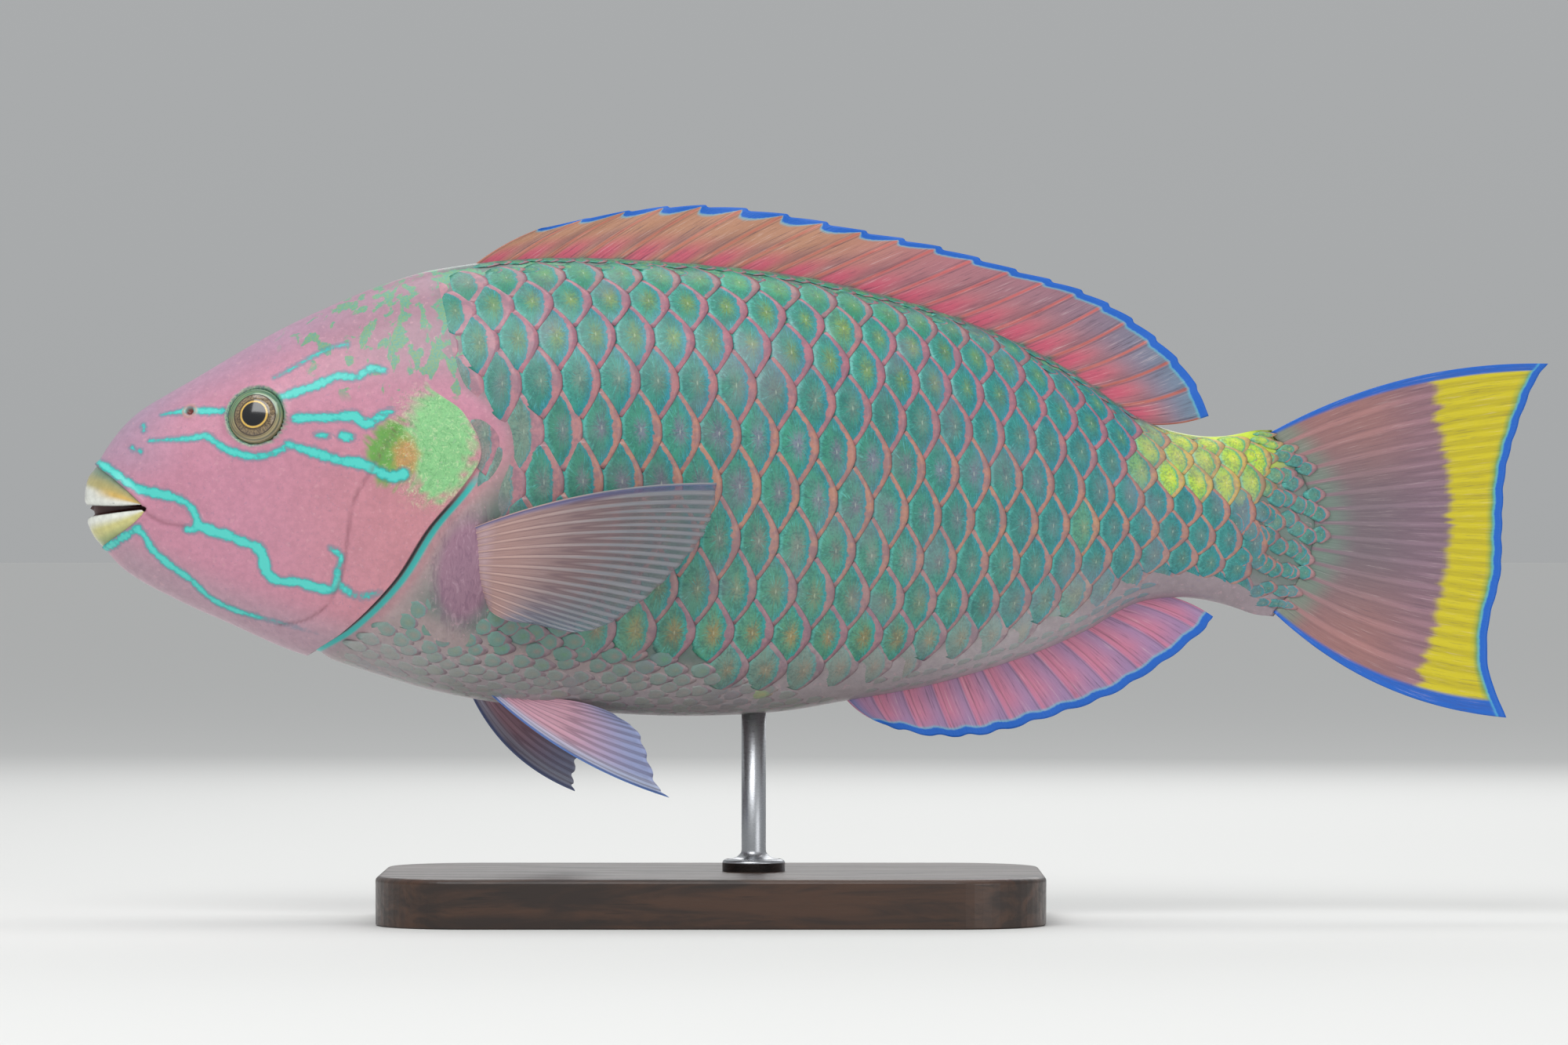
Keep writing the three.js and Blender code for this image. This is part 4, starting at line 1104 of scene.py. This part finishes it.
def build_fin(name, rays, root, tip, bow, depth, *, rows, per_ray, ray, web, notch, edge=0.35,
              ripple=0.0, branch=False, sharp=2.5, slanted=False):
    """A fin between its root line and its tip line, for u from 0 at the leading ray to 1 at the last.

    bow bends the rays in the side view and depth sets y. ray, web and edge are thicknesses in mm: at a ray,
    between rays and at the free edge. notch is how far the edge falls back between rays.
    """
    columns = (rays - 1) * per_ray + 1
    u = np.linspace(0, 1, columns)
    k = u * (rays - 1)
    near_ray = np.cos(np.pi * k) ** 2
    start, stop = np.stack(root(u), -1), np.stack(tip(u), -1)
    way = stop - start
    long = np.linalg.norm(way, axis=1)
    side = np.stack([-way[:, 1], way[:, 0]], -1) / long[:, None]
    after = k - np.floor(k)
    wave = (1 - after) ** 1.2 * ramp(after, 0, 0.22) if slanted else (1 - near_ray) ** 1.5
    reach = 1 - np.interp(u, [0, 0.1, 0.5, 1], [0.3, 1, 0.9, 0.4]) * notch * wave / long
    v = np.linspace(0, 1, rows)[:, None] ** 0.95 * reach
    swing = bow(u) * 4 * v * (1 - v)
    s, h = (start[:, axis] + way[:, axis] * v + side[:, axis] * swing for axis in range(2))
    branching = near_ray**sharp
    if branch:
        late = ramp(v, 0.35, 0.75)
        branching = branching * (1 - late) + (0.3 + 0.7 * np.cos(2 * np.pi * k) ** 2) ** 2 * late
    taper = 1 - 0.65 * v
    half = ((web + (ray - web) * branching * taper) * (1 - v) + edge * v) / 2
    y = depth(u, v, s, h) + ripple * np.sin(k * np.pi) * v
    front, rear = np.stack([s, y - half, h], -1), np.stack([s, y + half, h], -1)
    points = np.concatenate([front.reshape(-1, 3), rear.reshape(-1, 3)])
    quads, wall = grid_faces(rows, columns), rim_wall(rows, columns)
    faces = np.concatenate([quads[:, ::-1], quads + rows * columns, wall[:, [0, 3, 2, 1]]])
    obj = make(name, points, faces)

    def two(values):
        """Values of the grid, for both faces."""
        return np.concatenate([np.broadcast_to(values, v.shape).ravel()] * 2)

    margin = (reach - v) * long
    if slanted:
        lens = 0.45 + (0.65 + 0.8 * ramp(u, 0.6, 0.2)) * np.sin(np.pi * after)
        margin = margin / (lens * ramp(u, 0.7, 0.3) + ramp(u, 0.3, 0.7))
    give(obj, u=two(k), v=two(v), margin=two(margin), ridge=two(branching), length=two(long * v))
    uv_v = v * 0.47 + 0.015
    give_uv(obj, np.stack([two(u * 0.98 + 0.01), np.append(uv_v, uv_v + 0.5)], -1))
    return obj, {"s": two(s), "h": two(h), "u": two(u), "v": two(v), "margin": two(margin)}


def along(*controls):
    """A side-view line from (u, s, h) places."""
    c = np.array(controls, float)
    return lambda u: (smooth(c[:, 0], c[:, 1], u), smooth(c[:, 0], c[:, 2], u))


def table(places):
    """The place at u from 0 to 1, from places given at even steps."""
    return lambda u: smooth(np.linspace(0, 1, len(places)), places, u)


def fin_material(name, streak, blue_edge=None, groove_shade=0.35, clearness=None):
    """Streaks along the rays, painted shade in the valleys beside them and, if its width in mm is given, a
    blue free edge.
    """
    m = Shader(name, Roughness=0.42, Coat_Weight=0.15, Coat_Roughness=0.25)
    ridge = m.number("ridge")
    along_rays = m.vector(m.times(m.number("u"), 9.0), m.times(m.number("length"), 0.05), 0.0)
    lines = m.noise(along_rays, 1.5, 4, 0.7)
    fine = m.noise(m.place(), 1200, 2, 0.5)
    colour = m.paint(
        m.mix(m.colour("base"), m.colour("ray"), m.ramp(ridge, 0.25, 0.85)),
        ((70, 60, 80), m.ramp(lines, 0.52, 0.72), streak),
        ((245, 225, 225), m.ramp(lines, 0.45, 0.28), streak * 0.5),
        # painted shade in the valleys beside each ray's ridge
        ((80, 50, 70), m.ramp(ridge, 0.45, 0.2), m.ramp(ridge, 0.0, 0.16), groove_shade),
    )
    if blue_edge:
        width = m.plus(m.number("margin"), m.linear(fine, 0.5, -0.25))
        colour = m.paint(
            colour,
            ((90, 190, 215), m.ramp(width, blue_edge + 1.1, blue_edge), 0.7),
            (BLUE, m.ramp(width, blue_edge + 0.3, blue_edge - 0.3)),
        )
    m.set("Base Color", colour)
    m.relief(m.plus(lines, m.times(fine, 0.3)), 0.3, 0.0005)
    if clearness:
        clear = m.times(m.ramp(m.number("v"), 0.25, 1.0), m.ramp(ridge, 0.9, 0.1))
        m.set("Alpha", m.linear(clear, -clearness, 1.0))
    return m.material


def half_body(s, h):
    """How far the skin lies from the middle plane at a place of the side view."""
    return -side_point(s, h)[..., 1]


def gap_phase(u, gaps):
    """How far each place lies between the ray ahead of it, 0, and the ray behind it, 1."""
    return u * gaps - np.floor(u * gaps)


def build_dorsal_fin():
    root_at = table([109, 161, 216, 266, 301])
    obj, f = build_fin(
        "fin_dorsal", 21,
        lambda u: (root_at(u), back(root_at(u)) - 2.5),
        along(
            (0, 131, 78.5), (0.1, 156, 83.6), (0.2, 178, 85.2), (0.3, 201.5, 82.6),
            (0.4, 224, 77.8), (0.5, 245.5, 73.2), (0.6, 267, 66.8), (0.7, 286, 60.8),
            (0.8, 300.6, 52.7), (0.9, 313.5, 41.4), (0.96, 320, 32), (1, 322.6, 24.6),
        ),
        lambda u: 1.2 - 2.7 * u,
        lambda u, v, s, h: 1.2 * np.sin(u * 9) * v,
        rows=34, per_ray=14, ray=1.0, web=0.6, notch=1.8, ripple=0.25, sharp=18, slanted=True,
    )
    u, v = f["u"], f["v"]
    phase = gap_phase(u, 20)
    spiny = ramp(u, 0.55, 0.35)
    foot = ramp(v, 0.60, 0.08) * ramp(phase, 0.0, 0.25) * ramp(phase, 1.0, 0.45)
    blotch = ramp(phase, 0.45, 0.8) * bump(v - 0.42, 0.2)
    teal = bump(np.minimum(phase, 1 - phase), 0.13) * ramp(v, 0.17, 0.09)
    base = tint(
        srgb(190, 120, 126),
        ((190, 138, 110), spiny),
        ((132, 114, 134), 0.8 * ramp(u, 0.40, 0.85) * ramp(v, 0.3, 0.8)),
        ((212, 88, 116), np.clip(foot * 1.3, 0, 1) * 0.9),
        ((120, 84, 98), blotch * 0.45),
        ((100, 140, 165), ramp(u, 0.66, 1.0) * ramp(v, 0.3, 0.9) * 0.8),
        ((30, 120, 110), teal),
        ((50, 140, 112), ramp(v, 0.10, 0.03)),
    )
    ray = tint(
        srgb(206, 104, 104),
        ((196, 118, 98), spiny),
        ((186, 104, 90), ramp(u, 0.6, 1) * 0.8),
        ((40, 125, 112), teal),
    )
    give(obj, base=base, ray=ray)
    return obj


def build_anal_fin():
    root_at = table([217, 243, 264, 286, 304])
    obj, f = build_fin(
        "fin_anal", 13,
        lambda u: (root_at(u), belly(root_at(u)) + 2.5),
        along(
            (0, 228, -63.4), (0.1, 234, -65.6), (0.2, 245, -67.5), (0.35, 260, -66.6), (0.5, 277, -61.9),
            (0.65, 294.5, -55.6), (0.8, 310, -46), (0.92, 321, -37), (1, 323.8, -33),
        ),
        lambda u: -1 + 2.5 * u,
        lambda u, v, s, h: -0.9 * np.sin(u * 8) * v,
        rows=26, per_ray=14, ray=1.0, web=0.6, notch=0.8, ripple=0.25, sharp=14,
    )
    u, v = f["u"], f["v"]
    base = tint(
        srgb(206, 126, 154),
        ((160, 134, 176), ramp(gap_phase(u, 12), 0.1, 0.9) * 0.8),
        ((150, 130, 175), ramp(v, 0.55, 0.9) * 0.6),
        ((60, 130, 190), ramp(u, 0.06, 0.0) * 0.8),
    )
    give(obj, base=base, ray=tint(srgb(214, 128, 154), ((198, 126, 160), v)))
    return obj


def build_tail_fin():
    """The tail fin, on a root line top mm above the axis and high mm long."""
    top, high = 19.8, 51.6

    def root(u):
        h = top - high * u
        return stalk_end(h) - 5, h

    obj, f = build_fin(
        "fin_tail", 15,
        root,
        along(
            (0, 420, 39.6), (0.07, 416.6, 35), (0.2, 411.5, 22), (0.35, 407.9, 8), (0.5, 407, -7),
            (0.65, 406.5, -21), (0.8, 403, -36), (0.91, 403.2, -49), (1, 408, -62),
        ),
        lambda u: (5.6 - 12 * u**0.9) * np.abs(2 * u - 1) ** 1.5,
        lambda u, v, s, h: 2.2 * np.sin(v * 2.2) * np.sin(u * 3.1),
        rows=56, per_ray=20, ray=1.4, web=1.2, notch=0.3, branch=True, sharp=4,
    )
    s, h, u, v = f["s"], f["h"], f["u"], f["v"]
    # the yellow band begins along a line that jumps a little from ray to ray
    band_start = smooth([-62, -50, -35, -15, 5, 22, 40], [379, 382.5, 387.5, 391, 391.5, 389, 386], h)
    jumps = np.random.default_rng(21).normal(size=120)
    gold = ramp(s - band_start + 0.9 * np.interp(u * 110, np.arange(120), jumps), -1.2, 1.6)
    fringe = ramp(f["margin"], 4.6, 2.6)
    from_side = np.minimum(u, 1 - u) * (high + 50 * v) - 0.6 - 2.6 * v
    blue_side = (BLUE, ramp(from_side, 0.4, -0.3))
    inner = tint(
        srgb(118, 102, 110),
        ((158, 112, 110), ramp(np.abs(h + 8), 5, 34)),
        ((134, 104, 122), ramp(s, 366, 388) * 0.6),
    )
    base = tint(
        inner,
        ((204, 188, 4), gold),
        ((60, 150, 90), fringe * 0.85),
        ((110, 150, 130), ramp(s - stalk_end(h), 9, -1) * 0.6),
        blue_side,
    )
    ray = tint(inner * 1.25, ((214, 198, 20), gold), ((70, 150, 100), fringe * 0.8), blue_side)
    give(obj, base=base, ray=ray)
    return obj


def build_pectoral_fin(side, tag):
    def stand_off(u, v, s, h):
        """From within the flesh at the root, outwards along the fin's length."""
        body = half_body(np.minimum(s, 150), h)
        return side * (body - 1.6 + 3.6 * np.clip(v / 0.12, 0, 1) + 12.5 * v + 1.5 * np.sin(np.pi * v))

    obj, f = build_fin(
        f"pectoral_{tag}", 14,
        along((0, 110.5, -8.2), (0.5, 111.5, -19), (1, 116.5, -30.5)),
        along(
            (0, 181.8, 5.2), (0.1, 181, -2), (0.25, 177.5, -10.5), (0.4, 170.5, -19),
            (0.55, 161, -28), (0.7, 151.5, -34.5), (0.85, 141.5, -37), (1, 130, -34),
        ),
        lambda u: 3.6 - 5.2 * u,
        stand_off,
        rows=44, per_ray=14, ray=1.15, web=0.75, edge=0.3, notch=0.5, branch=True, sharp=5,
    )
    u, v = f["u"], f["v"]
    blotches = bump(np.sin((v - 0.06 * u) * 26), 0.4) * ramp(v, 0.45, 0.7) * ramp(u, 0.9, 0.4)
    base = tint(
        srgb(176, 140, 134),
        ((146, 122, 122), ramp(v, 0.12, 0.5)),
        ((120, 138, 146), ramp(v, 0.5, 0.95) * 0.8),
        ((112, 142, 168), ramp(u, 0.5, 0.95) * ramp(v, 0.2, 0.6) * 0.7),
        ((176, 132, 132), blotches * 0.4),
        ((206, 176, 184), bump(v - 0.075, 0.035) * 0.7),
        ((160, 114, 140), ramp(v, 0.055, 0.02)),
        ((72, 96, 160), ramp(u, 0.05, 0.01) * 0.75),
    )
    give(obj, base=base, ray=tint(srgb(198, 162, 154), ((130, 132, 138), ramp(v, 0.12, 0.7))))
    return obj


PELVIC_FINS = {
    # side: root line, tip line, sideways spread and forward bulge in mm
    -1: (
        [(0, 115.5, -54), (1, 129, -56.5)],
        [(0, 168, -84.4), (0.2, 164.8, -81), (0.45, 162, -73), (0.7, 159, -65.5), (1, 152, -60.4)],
        9, 3.6,
    ),
    1: (
        [(0, 109.5, -53), (1, 123, -56)],
        [(0, 139.7, -84.4), (0.2, 139.4, -81), (0.45, 140.5, -75), (0.7, 143, -69), (1, 143, -63)],
        30, 4.6,
    ),
}


def build_pelvic_fin(side, tag):
    root, tips, spread, bulge = PELVIC_FINS[side]
    obj, f = build_fin(
        f"pelvic_{tag}", 7, along(*root), along(*tips),
        lambda u: -bulge + (bulge + 1.5) * u,
        lambda u, v, s, h: side * (7 + v * spread),
        rows=30, per_ray=12, ray=1.6, web=0.8, edge=0.35, notch=0.9, branch=True,
    )
    base = tint(
        srgb(218, 166, 184),
        ((130, 164, 212), ramp(f["v"], 0.35, 0.95) * 0.8),
        ((190, 200, 225), ramp(f["u"], 0.30, 0.14) * 0.8),
        ((50, 110, 190), ramp(f["u"], 0.10, 0.03) * 0.9),
    )
    # the right fin, on the far side, painted darker grey: painted shade
    if side > 0:
        base = mix(base, srgb(110, 105, 115), 0.5)
    give(obj, base=base, ray=base * 1.12)
    return obj


# Eyes and beak.

def lathe(profile, segments):
    """Points and sets of faces of a round form from (radius, height) pairs, the ends on the axis."""
    profile = np.asarray(profile, float)
    turn = np.arange(segments)[:, None] / segments * 2 * np.pi
    radius, height = profile[1:-1].T
    n = len(radius)
    side = np.stack([radius * np.cos(turn), radius * np.sin(turn), height + 0 * turn], -1)
    ends = [[0, 0, profile[0, 1]], [0, 0, profile[-1, 1]]]
    points = np.concatenate([side.reshape(-1, 3), ends])
    first = np.arange(segments) * n
    fans = fan_faces(segments * n, first), fan_faces(segments * n + 1, first + n - 1)[:, ::-1]
    return points, [grid_faces(segments, n, wrap=True), *fans]


def on_eye(points, side):
    """Places of the eye's own frame, ahead, up and out, set into the head."""
    centre, out = eye_frame()
    up = np.cross(out, [1, 0, 0])
    up /= np.linalg.norm(up)
    ahead = np.cross(up, out)
    p = centre + points[:, :1] * ahead + points[:, 1:2] * up + points[:, 2:] * out
    return p * (1, -side, 1)


def build_eye(side, tag):
    """A flat ball with a low dome in front, on which a shallow ring sets off the iris."""
    r = EYE_RADIUS + 0.3
    ball = [(0, -4.2), (r * 0.9, -4.0), (r, -2.5), (r, -0.5)]
    for t in np.linspace(0.03, 1, 40):
        radius = r * (1 - t)
        height = 1.9 * (1 - (radius / r) ** 2)
        height += 0.25 * ramp(radius, 5.9, 4.6) - 0.12 * bump(radius - 6.1, 0.35)
        ball.append((radius, height))
    points, faces = lathe(ball, segments=96)
    radius = np.linalg.norm(points[:, :2], axis=1)
    if side > 0:
        faces = [kind[:, ::-1] for kind in faces]
    obj = make(f"eyeball_{tag}", on_eye(points, side), *faces)
    give(obj, radius=radius, east=points[:, 0] / r, north=points[:, 1] / r)
    return obj


def eye_material():
    """Pupil, thin gold ring, bronze iris and a green outer ring, by the distance from the middle in mm."""
    m = Shader("eye", Roughness=0.16, Coat_Weight=0.7, Coat_Roughness=0.04)
    radius, east, north = m.number("radius"), m.number("east"), m.number("north")
    turn = m.math("ARCTAN2", north, east)
    rough = m.noise(m.place(), 900, 4, 0.6)
    spokes = m.noise(m.vector(turn, m.times(radius, 0.12), 0.0), 11, 4, 0.65)
    bands = m.noise(m.vector(m.times(turn, 0.5), m.times(radius, 2.2), 0.0), 1.3, 3, 0.6)
    iris = m.paint(
        srgb(150, 128, 92),
        ((84, 70, 56), m.ramp(spokes, 0.35, 0.65)),
        ((176, 160, 140), m.ramp(rough, 0.55, 0.75), 0.35),
    )
    upper_ring = m.paint(srgb(132, 156, 108), ((84, 128, 104), m.ramp(bands, 0.38, 0.62)))
    lower_ring = m.paint(srgb(164, 150, 112), ((128, 116, 88), m.ramp(bands, 0.38, 0.62)))
    outer = m.mix(upper_ring, lower_ring, m.ramp(north, 0.45, -0.45))
    wavy = m.linear(rough, 0.4, m.minus(radius, 0.2))
    colour = m.mix(iris, outer, m.ramp(wavy, 5.9, 6.3))
    rings = (
        # radius, half width, tone, share
        (6.05, 0.25, (58, 46, 40), 0.9),
        (4.35, 0.3, (66, 52, 40), 0.7),
        (7.3, 0.2, (45, 75, 70), 0.6),
        (3.8, 0.33, (232, 190, 90), 1.0),
    )
    for at, half, tone, share in rings:
        ring = m.ramp(m.unsigned(m.minus(radius, at)), half, half * 0.35)
        colour = m.paint(colour, (tone, ring, share))
    m.set("Base Color", m.paint(colour, ((6, 8, 12), m.ramp(radius, 3.5, 3.36))))
    return m.material


BEAK_THICKNESS = 1.9


def front_of(h):
    """How far forward the skin reaches at height h on the snout."""
    s = np.linspace(0, 24, 900)
    if h >= middle(0.0):
        return float(np.interp(h, back(s), s))
    return float(np.interp(-h, -belly(s), s))


def build_beak(name, upper):
    """One beak plate, wrapped round the snout from one corner of the mouth to the other."""
    lip = curve(UPPER_LIP if upper else LOWER_LIP, 60)
    rows, columns, dense = 26, 81, 240
    f = np.linspace(0, 1, dense) ** 3
    v = np.linspace(0, 1, rows)
    lip_s, lip_h = (np.interp(f, np.linspace(0, 1, 60), lip[::-1, k]) for k in range(2))
    lip_h = lip_h + (0.9 if upper else -0.9) * (1 - f**3)
    # the cutting edge runs back to the corner of the mouth, and the plate's far edge lies under the lip
    cut_s = (17.0 if upper else 17.4) * f
    cut_h = -0.9 - 0.35 * np.sin(np.pi * f) if upper else -5.5 + 3.2 * f**0.55
    h = cut_h + (lip_h - cut_h) * v[:, None]
    side_s = cut_s + (lip_s + 0.5 - cut_s) * v[:, None]
    front = np.array([[front_of(x) + 0.02 for x in line] for line in h])
    hold = 1 - (1 - f) ** 7
    s = np.maximum(front, front * (1 - hold) + side_s * hold)
    y = half_body(s, h) * (f > 0)
    fine = np.stack([s, y, h], -1)
    # each row is spaced evenly from the ridge to the corner of the mouth, then mirrored
    half = columns // 2 + 1
    outer = np.empty((rows, columns, 3))
    across = np.empty((rows, columns))
    for r in range(rows):
        steps = np.linalg.norm(np.diff(fine[r], axis=0), axis=1)
        at = np.concatenate([[0], np.cumsum(steps)])
        even = np.linspace(0, at[-1], half)
        side_row = np.stack([np.interp(even, at, fine[r, :, axis]) for axis in range(3)], -1)
        outer[r, half - 1:] = side_row
        outer[r, :half] = (side_row * (1, -1, 1))[::-1]
        across[r, half - 1:] = np.interp(even, at, f)
        across[r, :half] = across[r, half - 1:][::-1]
    for _ in range(2):
        outer[:, 1:-1] = 0.5 * outer[:, 1:-1] + 0.25 * (outer[:, :-2] + outer[:, 2:])
    # the plate swells and is thick away from a place inside the snout
    away = outer - (14.0, 0, -2.0 if upper else -3.0)
    away /= np.linalg.norm(away, axis=-1, keepdims=True)
    cutting = ramp(v, 0.12, 0.0)[:, None]
    notches = np.abs(np.sin(np.linspace(0, 22 * np.pi, columns)))
    teeth = 0.16 * notches * ramp(v, 0.22, 0.05)[:, None]
    swell = 0.35 * np.sin(np.pi * v)[:, None] - 0.5 * cutting
    outer = outer + away * (swell + teeth - 0.15)[..., None]
    inner = outer - away * BEAK_THICKNESS
    points = np.concatenate([outer.reshape(-1, 3), inner.reshape(-1, 3)])
    faces = sheet_faces(rows, columns)
    if not upper:
        faces = faces[:, ::-1]
    obj = make(name, points, faces)
    v = np.tile(np.repeat(v, columns), 2)
    across = np.tile(across.ravel(), 2)
    if upper:
        colour = tint(
            srgb(236, 238, 230),
            ((186, 176, 120), ramp(v - (0.36 - 0.16 * across), 0.0, 0.2)),
            ((222, 186, 104), bump(v - 0.40, 0.14) * ramp(across, 0.1, 0.5)),
            ((124, 150, 128), ramp(v, 0.6, 0.9)),
        )
    else:
        colour = tint(
            srgb(240, 242, 232),
            ((212, 206, 134), ramp(v, 0.15, 0.5)),
            ((148, 166, 108), ramp(v, 0.5, 0.95) * ramp(across, 0.9, 0.3)),
        )
    # painted shade: darker along the cutting edge, where the plates meet the mouth's gap
    colour = mix(colour, srgb(30, 30, 30), ramp(v, 0.05, 0.0) * 0.55)
    give(obj, base=colour, v=v)
    return obj


def beak_material():
    m = Shader("beak enamel", Roughness=0.22, Coat_Weight=0.5, Coat_Roughness=0.1)
    place = m.place()
    cloud = m.noise(place, 500, 3, 0.6)
    fine = m.noise(place, 2500, 2, 0.6)
    tone = m.linear(m.ramp(cloud, 0.3, 0.7), 0.16, 0.9)
    colour = m.shaded(m.colour("base"), tone)
    stain = m.times(m.ramp(m.noise(place, 900, 4, 0.7), 0.62, 0.75), m.ramp(m.number("v"), 0.22, 0.02))
    colour = m.paint(colour, ((40, 35, 30), stain, 0.8))
    m.set("Base Color", colour)
    m.relief(m.plus(cloud, m.times(fine, 0.3)), 0.15, 0.0005)
    return m.material


# The stand.

BASE = {"middle": -30.0, "length": 190.0, "width": 112.0, "height": 14.0, "corner": 26.0, "edge": 1.5}
ROD_S = 192.0


def build_base():
    """A flat block with round corners, a rounded upper edge and a small bevel below."""
    half = np.array([BASE["length"], BASE["width"]]) / 2
    corner, edge, top = BASE["corner"], BASE["edge"], BASE["height"]
    outline = []
    for quarter, way in enumerate(((1, 1), (-1, 1), (-1, -1), (1, -1))):
        turn = quarter * np.pi / 2 + np.linspace(0, np.pi / 2, 17)
        outline.append((half - corner) * way + corner * np.stack([np.cos(turn), np.sin(turn)], -1))
    outline = np.concatenate(outline)
    rounding = np.linspace(0, np.pi / 2, 7)
    profile = [(0.5, 0.0), (0.05, 0.45)]
    profile += [(edge - edge * np.cos(t), top - edge + edge * np.sin(t)) for t in rounding]
    rows = [np.insert(outline * (1 - inset / half), 2, z, axis=1) for inset, z in profile]
    k = len(outline)
    ring = np.arange(k)
    following = np.roll(ring, -1)
    band = np.stack([ring, following, following + k, ring + k], -1)
    walls = np.concatenate([band + i * k for i in range(len(rows) - 1)])
    underside, upside = ring[None, ::-1], ring[None] + (len(rows) - 1) * k
    points = np.concatenate(rows) + (BASE["middle"] + HALF_LENGTH, 0, -AXIS_HEIGHT)
    return make("base", points, walls, underside, upside, smooth_shade=False)


def build_rod():
    """A rod with a foot ring, from the base up into the belly."""
    bottom = BASE["height"] + 0.05 - AXIS_HEIGHT
    top = float(belly(ROD_S)) + 4
    # the foot ring, its rounded edge, and the sweep in from it to the rod
    profile = [(0, bottom), (9, bottom), (9, bottom + 2.2)]
    for t in np.linspace(0, np.pi / 2, 7):
        profile.append((9 - 1.2 * (1 - np.cos(t)), bottom + 2.2 + 1.2 * np.sin(t)))
    for t in np.linspace(0, np.pi / 2, 8):
        profile.append((7.8 - 4.3 * np.sin(t), bottom + 3.4 + 2.6 * (1 - np.cos(t))))
    profile += [(3.5, top), (0, top)]
    points, faces = lathe(profile, segments=48)
    return make("rod", points + (ROD_S, 0, 0), *faces)


def wood_material():
    m = Shader("dark wood", Roughness=0.4, Coat_Weight=0.3, Coat_Roughness=0.25)
    grain = m.noise(m.stretched((9, 70, 70)), 2.2, 6, 0.6, 1.2)
    pores = m.noise(m.stretched((60, 900, 900)), 1.0, 3, 0.6)
    colour = m.paint(
        srgb(70, 44, 28),
        ((38, 23, 15), m.ramp(grain, 0.35, 0.65)),
        ((20, 12, 8), m.ramp(pores, 0.62, 0.72), 0.6),
    )
    m.set("Base Color", colour)
    m.set("Roughness", m.ramp(grain, 0.3, 0.7, 0.32, 0.48))
    m.relief(m.plus(grain, pores), 0.12, 0.0005)
    return m.material


def steel_material():
    m = Shader("brushed steel", Metallic=1.0, Roughness=0.3)
    lines = m.noise(m.stretched((300, 300, 9000)), 1.0, 3, 0.7)
    m.set("Base Color", m.paint(srgb(196, 198, 202), ((165, 168, 172), lines)))
    m.set("Roughness", m.ramp(lines, 0.3, 0.7, 0.24, 0.4))
    m.relief(lines, 0.08, 0.0002)
    return m.material


# Put together.

FLESH_NODES = ("head", "gill_cover_left", "gill_cover_right", "trunk", "tail_stalk")
dress(build_skin(), skin_material(), "head_skin", *FLESH_NODES)
plates = scale_material()
for side in (-1, 1):
    for kind in ("large", "small"):
        dress(build_scales(side, kind), plates, "scaly_skin")
dress(build_dorsal_fin(), fin_material("dorsal fin", 0.7, 2.3), "median_fin", "dorsal_fin")
dress(build_anal_fin(), fin_material("anal fin", 0.6, 2.3), "median_fin", "anal_fin")
dress(build_tail_fin(), fin_material("tail fin", 0.42, 2.2, groove_shade=0.1), "tail_fin", "tail_fin")
pectoral_look = fin_material("pectoral fin", 0.45, clearness=0.6)
pelvic_look = fin_material("pelvic fin", 0.4)
eye_look = eye_material()
for side, tag in ((-1, "left"), (1, "right")):
    dress(build_pectoral_fin(side, tag), pectoral_look, "paired_fin", f"pectoral_fin_{tag}")
    dress(build_pelvic_fin(side, tag), pelvic_look, "paired_fin", f"pelvic_fin_{tag}")
    dress(build_eye(side, tag), eye_look, "eye", f"eye_{tag}")
enamel = beak_material()
dress(build_beak("upper_beak", True), enamel, "beak", "beak_upper")
dress(build_beak("lower_beak", False), enamel, "beak", "beak_lower")
dress(build_base(), wood_material(), "stand_wood", "stand_base")
dress(build_rod(), steel_material(), "stand_steel", "stand_rod")

# The room: a pale floor and soft light.

bpy.ops.mesh.primitive_plane_add(size=40, location=(0, 0, 0))
floor = bpy.context.object
floor.name = "floor"
paper = Shader("floor paper", Roughness=0.9)
paper.set("Base Color", srgb(226, 226, 224))
floor.data.materials.append(paper.material)

HORIZON = (0.385, 0.395, 0.40, 1)
OVERHEAD = (0.60, 0.61, 0.62, 1)
world = bpy.data.worlds.new("room")
bpy.context.scene.world = world
world.use_nodes = True
# the room is as pale as the floor at its far edge and a little brighter overhead
nodes, links = world.node_tree.nodes, world.node_tree.links
up = nodes.new("ShaderNodeSeparateXYZ")
links.new(nodes.new("ShaderNodeTexCoord").outputs["Generated"], up.inputs[0])
sky = nodes.new("ShaderNodeMix")
sky.data_type = "RGBA"
sky.inputs[6].default_value = HORIZON
sky.inputs[7].default_value = OVERHEAD
links.new(up.outputs[2], sky.inputs[0])
links.new(sky.outputs[2], nodes["Background"].inputs[0])
bpy.context.scene.view_settings.view_transform = "Standard"


LAMP_AIM = (0, 0, 0.12)
LAMPS = (
    # name, place, size, power
    ("key", (-0.35, -0.9, 1.1), (0.9, 0.6), 7.5),
    ("fill", (0.9, -1.1, 0.35), (0.8, 0.8), 3),
    ("top", (0.0, 0.25, 1.3), (1.2, 0.7), 5.5),
    ("back", (0.2, 1.2, 0.7), (1.0, 0.6), 3.5),
)
for name, place, size, power in LAMPS:
    light = bpy.data.lights.new(name, "AREA")
    light.shape = "RECTANGLE"
    light.size, light.size_y = size
    light.energy = power
    lamp = bpy.data.objects.new(name, light)
    bpy.context.scene.collection.objects.link(lamp)
    lamp.location = place
    lamp.rotation_euler = (Vector(LAMP_AIM) - Vector(place)).to_track_quat("-Z", "Y").to_euler()

# The camera looks level at the fish's left side from far off, as the photo does.
FOCAL = 180.0
SENSOR = 36.0
VIEW_WIDTH = 0.450
camera_data = bpy.data.cameras.new("camera")
camera_data.lens = FOCAL
camera_data.sensor_width = SENSOR
camera = bpy.data.objects.new("camera", camera_data)
bpy.context.scene.collection.objects.link(camera)
camera.location = (-0.0093, -VIEW_WIDTH * FOCAL / SENSOR, 0.1140)
camera.rotation_euler = (np.pi / 2, 0, 0)
camera_data.clip_end = 60
bpy.context.scene.camera = camera
